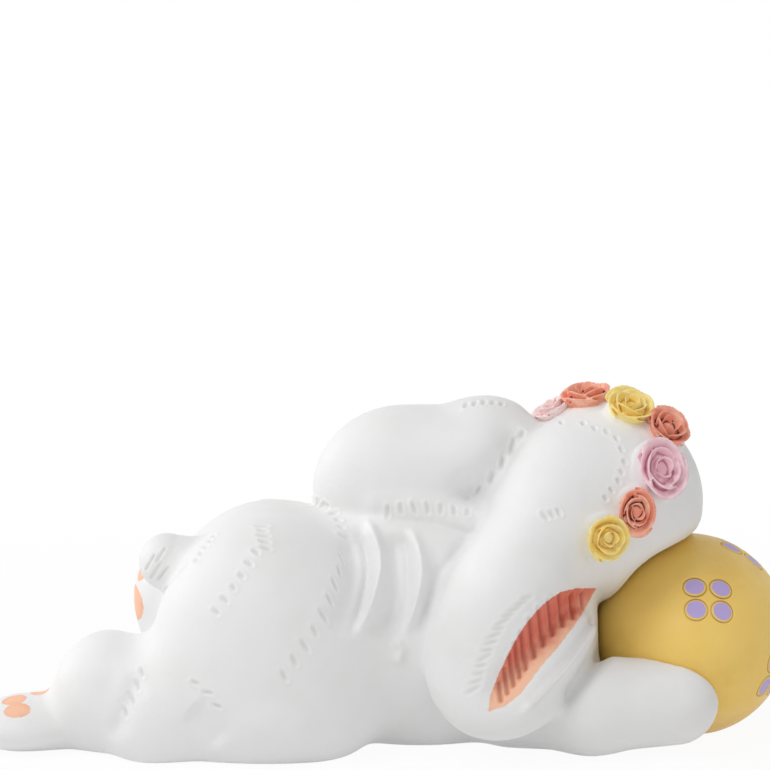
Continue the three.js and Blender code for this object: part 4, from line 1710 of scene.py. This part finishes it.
class Clay:
    """All the white clay as one form, and the cell of it that each casting takes."""

    furrows = Relief(Swell(((612, 640), (592, 666), (573, 690), (555, 713)), -2.6, 8),
                     Swell(((140, 668), (133, 692), (122, 716), (115, 745)), -1.2, 9))
    limb_blends = {"right_foreleg": 6.0, "left_foreleg": 6.0, "right_hind_foot": 7.0, "left_hind_foot": 3.0,
                   "tail": 2.5}
    ear_crease, ear_flow, ear_span = 2.5, 17.0, 44.0
    left_ear_blend, head_blend, band_blend = 2.4, 2.2, 1.2
    egg_gap, egg_edge, foot_edge = 0.1, 1.4, 1.6
    near_side = -14.0
    fade = 8.0
    seam_sink = 0.03
    tongue = 3.0
    reach = 16.0
    away = 99.0

    def __init__(self) -> None:
        """Collects the castings' forms."""
        self.forms: dict[str, Form] = {
            "trunk": TRUNK.form(), "right_foreleg": LIMBS.foreleg(Side.RIGHT),
            "left_foreleg": LIMBS.foreleg(Side.LEFT), "right_hind_foot": LIMBS.stretched_foot(),
            "left_hind_foot": LIMBS.raised_foot(), "tail": LIMBS.tail(), "head": HEAD.form(),
            "right_ear": EARS.right(), "left_ear": EARS.left(),
        }
        self.vent = vent(TRUNK.belly, TRUNK.vent_radius)
        self.forms["crown_band"] = CROWN.form(self.scalp)
        self.names = list(self.forms)

    def ear_blend(self, p: Array) -> Array:
        """How softly the right ear flows into the head."""
        near = 1 - smooth_step(lengths(p - EARS.root(Side.RIGHT)) / self.ear_span)
        return self.ear_crease + self.ear_flow * near

    def scalp(self, p: Array) -> Array:
        """The head with its right ear."""
        return soft_min(self.forms["head"](p), self.forms["right_ear"](p), self.ear_blend(p))

    def gaps(self, p: Array, wanted: Sequence[str] | None = None) -> Array:
        """The distance to each casting, one row each.

        Args:
            p: The points.
            wanted: The castings that matter there; the others are taken as far away.

        Returns:
            The distances.
        """
        rows = []
        for name, form in self.forms.items():
            near = wanted is None or name in wanted
            rows.append(form(p) if near else np.full(len(p), self.away, np.float32))
        return np.stack(rows)

    def skin(self, p: Array, gaps: Array | None = None) -> Array:
        """The blended form.

        Args:
            p: The points.
            gaps: The distances to the castings, where they are known.

        Returns:
            The distance to the clay.
        """
        rows = dict(zip(self.names, self.gaps(p) if gaps is None else gaps))
        body = rows["trunk"]
        for name, softness in self.limb_blends.items():
            body = soft_min(body, rows[name], softness)
        top = soft_min(rows["head"], rows["right_ear"], self.ear_blend(p))
        top = soft_min(top, rows["left_ear"], self.left_ear_blend)
        total = soft_min(soft_min(body, top, self.head_blend), rows["crown_band"], self.band_blend)
        total = total - self.furrows.height(p) * smooth_step((self.near_side - p[:, 1]) / self.fade)
        total = soft_max(total, -EGG.bare(p) + self.egg_gap, self.egg_edge)
        total = soft_max(total, -p[:, 2], self.foot_edge)
        return np.maximum(total, -self.vent(p))

    def neighbours(self, name: str) -> list[str]:
        """The castings that reach into a casting's grid.

        Args:
            name: The casting.

        Returns:
            Their names.
        """
        low, high = box_mm(name)
        boxes = {other: box_mm(other) for other in self.names}
        pad = 2 * self.reach
        return [other for other, (a, b) in boxes.items() if (a < high + pad).all() and (b > low - pad).all()]

    def piece(self, name: str) -> Form:
        """One casting's share of the clay, with a tongue that dips under its neighbours.

        Args:
            name: The casting's node.

        Returns:
            Its form.
        """
        own, wanted = self.names.index(name), self.neighbours(name)
        others = [i for i in range(len(self.names)) if i != own]

        def distance(p: Array) -> Array:
            """The distance from some points."""
            gaps = self.gaps(p, wanted)
            cell = gaps[own] - gaps[others].min(0)
            sunk = self.skin(p, gaps) + self.seam_sink * np.maximum(cell, 0) ** 2
            return np.maximum(sunk, (cell - self.tongue) / 2)

        return distance


# Marks in the clay


@dataclass(frozen=True)
class MarkRow:
    """A row of hair marks along a path of photograph pixels."""

    pixels: tuple
    spacing: float
    length: float
    lean: float
    mirrored: bool = False


@dataclass(frozen=True)
class Marks:
    """Strokes that are cut into the clay, in groups of one width and depth."""

    hair: tuple = (
        MarkRow(((326, 506), (338, 520), (344, 536)), 3.4, 3.0, -25, True),
        MarkRow(((342, 560), (335, 586), (318, 626), (284, 676)), 4.6, 4.2, -60, True),
        MarkRow(((262, 526), (266, 548)), 2.0, 4.0, -15, True),
        MarkRow(((256, 552), (240, 578), (216, 612)), 3.2, 2.4, -52, True),
        MarkRow(((196, 560), (204, 548), (214, 536)), 2.2, 3.2, -60),
        MarkRow(((142, 672), (136, 692), (126, 713)), 3.0, 3.4, -70, True),
        MarkRow(((195, 683), (207, 692), (217, 706)), 3.7, 3.2, -8, True),
        MarkRow(((388, 511), (414, 508), (440, 509), (468, 512)), 3.5, 3.5, -84),
        MarkRow(((478, 490), (490, 480), (501, 465), (511, 450), (522, 434)), 4.2, 4.2, 72),
        MarkRow(((545, 516), (559, 512)), 1.8, 2.6, -60),
        MarkRow(((466, 405), (485, 402), (502, 404)), 2.4, 2.6, 70),
    )
    wrinkles: tuple = (
        MarkRow(((473, 690), (485, 655), (503, 622), (527, 598)), 2.2, 5.0, 24),
    )
    pits: tuple = (
        (561, 421), (583, 422), (594, 427), (606, 430), (616, 437), (621, 448), (624, 461), (621, 471),
        (618, 480), (611, 489), (605, 497),
    )
    pit_way: tuple = (1.2, 2.4)
    ribs: tuple = ((500, 692), (523, 650), (550, 617), (582, 602))
    rib_step: float = 11.0
    rib_reach: tuple = (2.0, 19.0)
    rib_spans: tuple = (0.45, 0.55)
    tail_hair: tuple = (
        ((165, 590), (176, 577), (188, 563)), ((158, 580), (168, 568)), ((151, 578), (161, 563)),
        ((146, 570), (154, 556)), ((157, 561), (165, 549)),
    )
    rims: tuple = (((592, 622), (576, 648), (556, 676), (534, 702)),)

    def pit_lines(self) -> list[Pixels]:
        """A short line at each pit."""
        across, down = self.pit_way
        return [((x, y), (x + across, y + down)) for x, y in self.pits]

    def rib_lines(self) -> list[Pixels]:
        """Steep lines across the open ear, shorter towards its ends.

        Returns:
            The ends of each line.
        """
        middles, reach = dense(self.ribs, self.rib_step), np.array(self.rib_reach)
        least, more = self.rib_spans
        spans = least + more * np.sin(np.linspace(0, math.pi, len(middles)))
        return [(middle - reach * span, middle + reach * span) for middle, span in zip(middles, spans)]


@dataclass(frozen=True)
class Face:
    """The face, which the photograph doesn't show: its lines as slopes to the head's left and up."""

    samples: int = 25
    eye: tuple = (0.62, 0.3)
    eye_size: tuple = (0.2, 0.16)
    eye_arc: tuple = (200, 340)
    nose: float = -0.22
    lip: tuple = (-0.3, -0.42)
    lip_samples: int = 9
    mouth_width: float = 0.3
    mouth_sag: float = 0.12
    mouth_wave: float = 9.0

    def lines(self) -> list[list]:
        """Closed eyes, both halves of the mouth and the line above it.

        Returns:
            The lines' points.
        """
        (out, up), (wide, high), paths = self.eye, self.eye_size, []
        for side in Side:
            arc = np.radians(np.linspace(*self.eye_arc, self.samples))
            paths.append([(side.value * (out + wide * math.cos(a)), up + high * math.sin(a)) for a in arc])
            steps = np.linspace(0, self.mouth_width, self.samples)
            sags = [self.mouth_sag * math.sin(t * self.mouth_wave) for t in steps]
            paths.append([(side.value * t, self.lip[1] - sag) for t, sag in zip(steps, sags)])
        return paths + [[(0, z) for z in np.linspace(*self.lip, self.lip_samples)]]


class Engraver:
    """Lays the marks on the clay and cuts them into each casting."""

    cuts = {"hair": Cut(0.8, 0.5, 0.18), "wrinkles": Cut(0.9, 0.22, 0.08), "ribs": Cut(1.0, 0.5, 0.25),
            "pits": Cut(0.75, 0.6, 0.12), "tail_hair": Cut(0.65, 0.28, 0.1), "rims": Cut(2.0, 0.5, 0.15),
            "face_lines": Cut(0.8, 0.5, 0.1)}
    line_step = 1.5
    fold_step = 4.0
    jitter = 0.22
    lift = 0.9
    face_gap = 6.0

    def __init__(self, clay: Clay, material: bpy.types.Material) -> None:
        """Lays all marks.

        Args:
            clay: The clay.
            material: Its finish.
        """
        self.clay, self.material = clay, material
        self.tool, self.stamp = Engraving(), HairMarks()
        marks, face = Marks(), Face()
        face_paths = [self.on_face(line) for line in face.lines()]
        self.face_lines, self.nose = np.vstack(face_paths), self.on_face([(0, face.nose)])[0]
        self.strokes = [
            self.rows("hair", marks.hair), self.rows("wrinkles", marks.wrinkles),
            self.lines("ribs", marks.rib_lines()), self.lines("pits", marks.pit_lines()),
            self.lines("tail_hair", marks.tail_hair), self.lines("rims", marks.rims),
            self.join("face_lines", face_paths),
        ]
        folds = [CAMERA.trace(clay.skin, dense(swell.pixels, self.fold_step)) for swell in TRUNK.relief]
        self.marked = np.vstack([mesh_points(made.data) for made in self.strokes] + folds)

    def lines(self, name: str, paths: Sequence[Pixels]) -> bpy.types.Object:
        """Plain strokes on the clay along paths of pixels."""
        return self.join(name, [CAMERA.trace(self.clay.skin, dense(path, self.line_step)) for path in paths])

    def join(self, name: str, paths: Sequence[Array]) -> bpy.types.Object:
        """Loose edges along paths of points.

        Args:
            name: The strokes' name.
            paths: The paths.

        Returns:
            The strokes.
        """
        edges, start = [], 0
        for path in paths:
            numbers = np.arange(start, start + len(path))
            edges.append(np.stack([numbers[:-1], numbers[1:]], 1))
            start += len(path)
        return make_object(name, make_mesh(name, np.vstack(paths), edges=np.vstack(edges)))

    def rows(self, name: str, rows: Sequence[MarkRow]) -> bpy.types.Object:
        """Hair marks along paths of pixels, and their mirror images on the other side.

        Args:
            name: The strokes' name.
            rows: The rows.

        Returns:
            The strokes, as loose edges on the clay.
        """
        paths, used = [], []
        for row in rows:
            path = CAMERA.trace(self.clay.skin, dense(row.pixels))
            paths.append(path)
            used.append((row, 1))
            if row.mirrored:
                flip = path.copy()
                flip[:, 1] = 2 * TRUNK.rump[1] - flip[:, 1]
                paths.append(settle(self.clay.skin, flip, CLOSE_ROUNDS))
                used.append((row, -1))
        made = self.join(name, paths)
        p = mesh_points(made.data)
        store(made.data, "up", unit(gradient(self.clay.skin, p)), "FLOAT_VECTOR")
        values = {"spacing": [row.spacing * MM for row, _ in used],
                  "length": [row.length * MM for row, _ in used],
                  "lean": [math.radians(row.lean) * way for row, way in used]}
        for key, each in values.items():
            store(made.data, key, np.repeat(each, [len(path) for path in paths]))
        self.stamp.use_on(made, Jitter=self.jitter, Lift=self.lift * MM, Seed=SEED, Material=self.material)
        freeze(made)
        return made

    def on_face(self, spots: Sequence[tuple[float, float]]) -> Array:
        """Points on the clay before the face.

        Args:
            spots: Slopes to the head's left and up.

        Returns:
            One point for each of them.
        """
        ways = np.array([(1, y, z) for y, z in spots], np.float32)
        start = HEAD.place.origin + unit(ways) @ HEAD.place.axes * (HEAD.radius + self.face_gap)
        return settle(self.clay.skin, start, FAR_ROUNDS)

    def cut(self, piece: bpy.types.Object) -> bpy.types.Mesh:
        """Cuts all marks into one casting.

        Args:
            piece: The casting.

        Returns:
            Its new mesh.
        """
        store(piece.data, "groove", np.zeros(len(piece.data.vertices)))
        for made in self.strokes:
            self.tool.use_on(piece, Strokes=made, Material=self.material, **self.cuts[made.name].inputs())
        return freeze(piece)

    def clear(self) -> None:
        """Removes the strokes."""
        for made in self.strokes:
            bpy.data.objects.remove(made)


def inside(spots: Array, outline: Pixels) -> Array:
    """How far inside an outline some pixels lie, below zero outside it.

    Args:
        spots: The pixels.
        outline: The outline's corners.

    Returns:
        The distances in pixels.
    """
    a = np.array(outline, np.float32)
    b = np.roll(a, -1, 0)
    best, within = np.full(len(spots), FAR, np.float32), np.zeros(len(spots), bool)
    for start, end in zip(a, b):
        side, offset = end - start, spots - start
        t = np.clip(offset @ side / (side @ side), 0, 1)
        best = np.minimum(best, lengths(offset - t[:, None] * side))
        crosses = (start[1] > spots[:, 1]) != (end[1] > spots[:, 1])
        within ^= crosses & (offset[:, 0] < side[0] * offset[:, 1] / (side[1] if side[1] else TINY))
    return np.where(within, best, -best)


@dataclass(frozen=True)
class Pad:
    """A painted foot pad: its middle and its half lengths."""

    middle: Array
    radii: tuple

    def gap(self, p: Array) -> Array:
        """How far inside the pad some points lie."""
        return -ball(self.middle, self.radii)(p)


class Painter:
    """Works out where the coral paint and the dark lines lie on the clay.

    A sole pad is given by the number of its pixel, its shift across the foot and its half lengths.
    """

    sole_pixels = ((17, 710), (14, 699), (42, 690))
    sole_pads = ((0, 0, (3.6, 3.0, 4)), (1, 0, (3.4, 2.8, 4)), (1, 8, (3.4, 3.0, 8)), (2, 0, (3.4, 4.2, 2.6)))
    raised_pixels = ((136, 574), (143, 606))
    raised_toes = ((-6, 3), (1, 5.5), (8.5, 3))
    toe_radii = (4, 3.0, 2.8)
    raised_shift = 7
    raised_radii = (5, 8.2, 5.0)
    unpainted = -5.0
    pixel = 0.27
    coat_way = (0.66, 0.75)
    coat_start, coat_span = 818, 46
    pad_coat, pad_fade = 0.72, 0.12
    line_width = 0.8
    nose_radius, nose_coat = 3.2, 0.55
    beside_ear = ("right_ear", "head", "trunk", "right_foreleg")
    soles = ("right_hind_foot", "left_hind_foot")

    def __init__(self, clay: Clay, engraver: Engraver) -> None:
        """Finds the pads on the soles.

        Args:
            clay: The clay.
            engraver: Knows where the face lies.
        """
        self.engraver = engraver
        foot, raised = (clay.forms[name] for name in self.soles)
        seen = CAMERA.trace(foot, self.sole_pixels)
        self.pads = [Pad(seen[number] + point(0, shift, 0), radii) for number, shift, radii in self.sole_pads]
        toe, pad = CAMERA.trace(raised, self.raised_pixels)
        toes = np.array([toe + point(0, across, up) for across, up in self.raised_toes])
        self.pads += [Pad(spot, self.toe_radii) for spot in settle(raised, toes, CLOSE_ROUNDS)]
        middle = settle(raised, pad[None] + point(0, self.raised_shift, 0), CLOSE_ROUNDS)[0]
        self.pads.append(Pad(middle, self.raised_radii))

    def paint(self, mesh: bpy.types.Mesh, name: str) -> None:
        """Stores the paint on one casting.

        Args:
            mesh: The casting's mesh.
            name: Its node.
        """
        p = mesh_points(mesh)
        coral, coat, line = np.full(len(p), self.unpainted), np.zeros(len(p)), np.zeros(len(p))
        if name in self.beside_ear:
            spots = CAMERA.project(p)
            coral = np.minimum(inside(spots, EARS.inner_face) * self.pixel, EARS.inner_depth - p[:, 1])
            right, down = self.coat_way
            along = spots[:, 0] * right + spots[:, 1] * down
            coat = smooth_step((along - self.coat_start) / self.coat_span)
        if name in self.soles:
            coral = np.max([pad.gap(p) for pad in self.pads], axis=0)
            coat = np.clip(self.pad_coat + coral * self.pad_fade, 0, 1)
        if name == "head":
            gap = np.min([lengths(p - spot) for spot in self.engraver.face_lines], axis=0)
            line = 1 - smooth_step(gap / self.line_width)
            nose = self.nose_radius - lengths(p - self.engraver.nose)
            coat = np.where(nose > coral, self.nose_coat, coat)
            coral = np.maximum(coral, nose)
        for key, values in (("coral", coral), ("coat", coat), ("line", line)):
            store(mesh, key, values)


@dataclass(frozen=True)
class Castings:
    """The white castings, and how fine each one's mesh is."""

    pitch: dict = field(default_factory=lambda: {
        "trunk": 0.85, "head": 0.6, "right_ear": 0.5, "left_ear": 0.65, "right_foreleg": 0.6,
        "left_foreleg": 0.7, "right_hind_foot": 0.6, "left_hind_foot": 0.55, "tail": 0.5, "crown_band": 0.45})
    halving_reach: float = 1.5

    def build(self, clay: Clay, engraver: Engraver, painter: Painter) -> list[tuple[bpy.types.Object, str]]:
        """All castings.

        Args:
            clay: Their common form.
            engraver: Cuts their marks.
            painter: Paints them.

        Returns:
            Each piece with the node that it stands for.
        """
        made = []
        for name, pitch in self.pitch.items():
            low, high = box_mm(name)
            form = clay.piece(name)
            points, quads = without_crumbs(*surface(form, low - clay.reach, high + clay.reach, pitch))
            mesh = make_mesh(name, points, quads)
            refine(mesh, engraver.marked, self.halving_reach)
            set_points(mesh, settle(form, mesh_points(mesh)))
            piece = make_object(f"{name}_clay", mesh)
            painter.paint(engraver.cut(piece), name)
            made.append((piece, name))
        return made


# Crown of roses


@dataclass(frozen=True)
class Rose:
    """A rose on the crown: rings of petals, each given by its count, size, height and seed.

    Petals and heart are made for a rose one wide. A petal's foot and flare are radii, and the heart's shape
    holds its radius, flatness and height.
    """

    seat: RoseSeat
    tint: RoseTint
    spin: float
    rings: tuple = ((5, 1.0, 0.5, 1), (4, 0.66, 0.66, 2), (3, 0.36, 0.74, 3))
    petal_grid: tuple = (8, 13)
    petal_sweep: float = 1.1
    petal_thickness: float = 0.2
    petal_thinning: float = 0.5
    petal_foot: float = 0.72
    petal_flare: float = 0.28
    petal_bend: float = 1.6
    petal_wind: float = 0.1
    petal_droop: float = 0.4
    heart_shape: tuple = (0.8, 0.4, 0.04)
    voxel: float = 0.035
    softening: tuple = (0.5, 4)
    lift: float = 0.8
    cavity_rounds: int = 24
    cavity_gain: float = 20.0

    def petal(self) -> bpy.types.Object:
        """A wall of clay round part of a circle, one high, that leans out and winds a little inwards.

        Returns:
            The petal.
        """
        (rows, columns), thin = self.petal_grid, self.petal_thinning
        spots = []
        for skin in (-0.5, 0.5):
            for up in np.linspace(0, 1, rows):
                for across in np.linspace(-1, 1, columns):
                    thick = self.petal_thickness * (1 - thin * up) * (1 - thin * across**4)
                    flare, angle = self.petal_flare * up**self.petal_bend, across * self.petal_sweep
                    reach = self.petal_foot + flare + self.petal_wind * across + skin * thick
                    top = up * (1 - self.petal_droop * across**2)
                    spots.append((reach * math.cos(angle), reach * math.sin(angle), top))
        layer, faces = rows * columns, []
        for r in range(rows - 1):
            for c in range(columns - 1):
                a = r * columns + c
                quad = [a, a + 1, a + columns + 1, a + columns]
                faces += [quad[::-1], [layer + i for i in quad]]
        border = (list(range(columns)) + [r * columns + columns - 1 for r in range(1, rows)]
                  + [(rows - 1) * columns + c for c in range(columns - 2, -1, -1)]
                  + [r * columns for r in range(rows - 2, 0, -1)])
        faces += [[a, b, layer + b, layer + a] for a, b in zip(border, border[1:] + border[:1])]
        mesh = bpy.data.meshes.new("petal")
        mesh.from_pydata(spots, [], faces)
        return make_object("petal", mesh)

    def heart(self) -> bpy.types.Mesh:
        """The low dome that the petals stand on, for a rose one wide.

        Returns:
            The mesh.
        """
        radius, flatness, height = self.heart_shape
        work = bmesh.new()
        bmesh.ops.create_icosphere(work, subdivisions=3, radius=radius)
        for vertex in work.verts:
            vertex.co.z = vertex.co.z * flatness + height
        mesh = bpy.data.meshes.new("rose_heart")
        work.to_mesh(mesh)
        work.free()
        return mesh

    def build(self, petals: RosePetals, head: Form, material: bpy.types.Material) -> bpy.types.Object:
        """The rose.

        Args:
            petals: Places the petals.
            head: The head that it sits on.
            material: Its paint.

        Returns:
            The finished piece.
        """
        rose, petal = make_object(f"{self.seat.node}_petals", self.heart()), self.petal()
        for count, size, height, seed in self.rings:
            petals.use_on(rose, Petal=petal, Count=count, Size=size, Height=height,
                          Spin=self.spin * seed, Seed=SEED + seed, Material=material)
        freeze(rose)
        bpy.data.objects.remove(petal)
        press = rose.modifiers.new("press", "REMESH")
        press.mode, press.voxel_size, press.use_smooth_shade = "VOXEL", self.voxel, True
        soften = rose.modifiers.new("soften", "SMOOTH")
        soften.factor, soften.iterations = self.softening
        mesh = freeze(rose)
        p = mesh_points(mesh) * MM
        store(mesh, "cavity", self.cavity(mesh, p))
        place = self.seat.place(head)
        size = point(1, self.seat.stretch, 1) * self.seat.radius
        set_points(mesh, place.origin + self.lift * place.axes[2] + (p * size) @ place.axes)
        mesh.materials.clear()
        mesh.materials.append(material)
        return rose

    def cavity(self, mesh: bpy.types.Mesh, p: Array) -> Array:
        """How deep each point lies among its neighbours.

        Args:
            mesh: The rose's mesh.
            p: Its points.

        Returns:
            One number for each point, 0 to 1.
        """
        a, b = fetched(mesh.edges, "vertices", 2, np.int32).T
        count = np.bincount(np.concatenate([a, b]), minlength=len(p))[:, None]
        soft = p.copy()
        for _ in range(self.cavity_rounds):
            total = np.zeros_like(p)
            np.add.at(total, a, soft[b])
            np.add.at(total, b, soft[a])
            soft = total / np.maximum(count, 1)
        depth = np.einsum("ij,ij->i", soft - p, fetched(mesh.vertices, "normal", 3))
        return np.clip(depth * self.cavity_gain, 0, 1)


TINTS = (RoseTint.YELLOW, RoseTint.CORAL, RoseTint.LILAC, RoseTint.CORAL, RoseTint.YELLOW, RoseTint.CORAL,
         RoseTint.PINK)
FIRST_SPIN, SPIN_STEP = 0.7, 1.1
ROSES = tuple(Rose(seat, tint, FIRST_SPIN + SPIN_STEP * number)
              for number, (seat, tint) in enumerate(zip(CROWN.seats, TINTS)))


# Studio


@dataclass(frozen=True)
class Lamp:
    """A soft lamp: where it hangs, its size in metres and its power."""

    name: str
    location: tuple[float, float, float]
    size: float
    power: float


@dataclass(frozen=True)
class Studio:
    """Pale floor, soft lamps and a white world."""

    lamps: tuple = (Lamp("key", (-0.7, -0.6, 1.2), 0.9, 8.2), Lamp("side", (-1.1, 0.4, 0.6), 0.8, 4.5),
                    Lamp("fill", (1.0, -0.9, 0.3), 0.8, 1.4))
    aim: tuple = (0.0, 0.0, 0.04)
    white: tuple = (1.0, 1.0, 1.0, 1.0)
    world_strength: float = 0.45
    floor_half: float = 6.0
    floor_color: tuple = (0.92, 0.92, 0.92, 1.0)
    floor_glow: float = 0.94
    floor_fade: tuple = (0.12, 0.4)
    floor_bounce: float = 0.15

    def build(self) -> None:
        """Adds the floor, the lamps and the world."""
        bpy.context.scene.view_settings.view_transform = "Standard"
        self.floor()
        for lamp in self.lamps:
            data = bpy.data.lights.new(lamp.name, "AREA")
            data.energy, data.size = lamp.power, lamp.size
            made = bpy.data.objects.new(lamp.name, data)
            made.location = lamp.location
            way = Vector(-np.array(lamp.location) + np.array(self.aim))
            made.rotation_euler = way.to_track_quat("-Z", "Y").to_euler()
            bpy.context.scene.collection.objects.link(made)
        world = bpy.data.worlds.new("studio")
        world.use_nodes = True
        graph = Graph(world.node_tree)
        light = world.node_tree.nodes["Background"]
        light.inputs["Color"].default_value = self.white
        shown = graph.times(self.seen(graph), 1 - self.world_strength)
        strength = graph.math("ADD", shown, self.world_strength)
        world.node_tree.links.new(strength, light.inputs["Strength"])
        bpy.context.scene.world = world

    def seen(self, graph: Graph) -> Socket:
        """1 for what the camera, gloss and glass see.

        Args:
            graph: The tree that asks.

        Returns:
            The socket.
        """
        path = graph.add("ShaderNodeLightPath").outputs
        both = graph.math("MAXIMUM", path["Is Camera Ray"], path["Is Glossy Ray"])
        return graph.math("MAXIMUM", both, path["Is Transmission Ray"])

    def floor(self) -> None:
        """Adds the floor, which glows a little less near the figurine."""
        half = self.floor_half
        corners = [(-half, -half, 0), (half, -half, 0), (half, half, 0), (-half, half, 0)]
        mesh = bpy.data.meshes.new("floor")
        mesh.from_pydata(corners, [], [(0, 1, 2, 3)])
        floor = make_object("floor", mesh)
        material = bpy.data.materials.new("pale_floor")
        material.use_nodes = True
        graph, nodes = Graph(material.node_tree), material.node_tree.nodes
        nodes.remove(nodes["Principled BSDF"])
        matt = graph.out("ShaderNodeBsdfDiffuse", {"Color": self.floor_color})
        glow = graph.out("ShaderNodeEmission", {"Color": self.white, "Strength": 1.0})
        where = graph.out("ShaderNodeTexCoord", output="Object")
        reach = graph.out("ShaderNodeVectorMath", {0: where}, "Value", operation="LENGTH")
        shown = graph.times(self.seen(graph), graph.ramp(reach, *self.floor_fade, self.floor_glow, 1.0))
        part = graph.math("MAXIMUM", shown, self.floor_bounce)
        mixed = graph.out("ShaderNodeMixShader", {0: part, 1: matt, 2: glow})
        material.node_tree.links.new(mixed, nodes["Material Output"].inputs["Surface"])
        mesh.materials.append(material)
        floor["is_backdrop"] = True


def hand_over(piece: bpy.types.Object, node: str, slot: str) -> None:
    """Ties a finished piece to the frame.

    Args:
        piece: The piece.
        node: The CAD node that it stands for.
        slot: The record's material slot; not used.
    """
    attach(piece, "root")
    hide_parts(node)
    LOG.info("%s: %d faces", piece.name, len(piece.data.polygons))


def main() -> None:
    """Builds the figurine and the studio around it."""
    logging.basicConfig(level=logging.INFO, format="%(name)s: %(message)s")
    CAMERA.build()
    Studio().build()
    white = WhiteClay().build()
    clay = Clay()
    engraver = Engraver(clay, white)
    for piece, node in Castings().build(clay, engraver, Painter(clay, engraver)):
        hand_over(piece, node, "white_bisque")
    egg = EGG.build(engraver.tool, DotRings(), EggPaint().build())
    hand_over(egg, "egg", "egg_yellow")
    petals, paints = RosePetals(), {tint: tint.value.build() for tint in RoseTint}
    for rose in ROSES:
        hand_over(rose.build(petals, clay.scalp, paints[rose.tint]), rose.seat.node, rose.tint.value.slot)
    engraver.clear()
    boxes = {name: [list(map(float, corner)) for corner in box]
             for name, box in (("cad", CAD_BOX), ("visual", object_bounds()))}


if __name__ == "__main__":
    main()
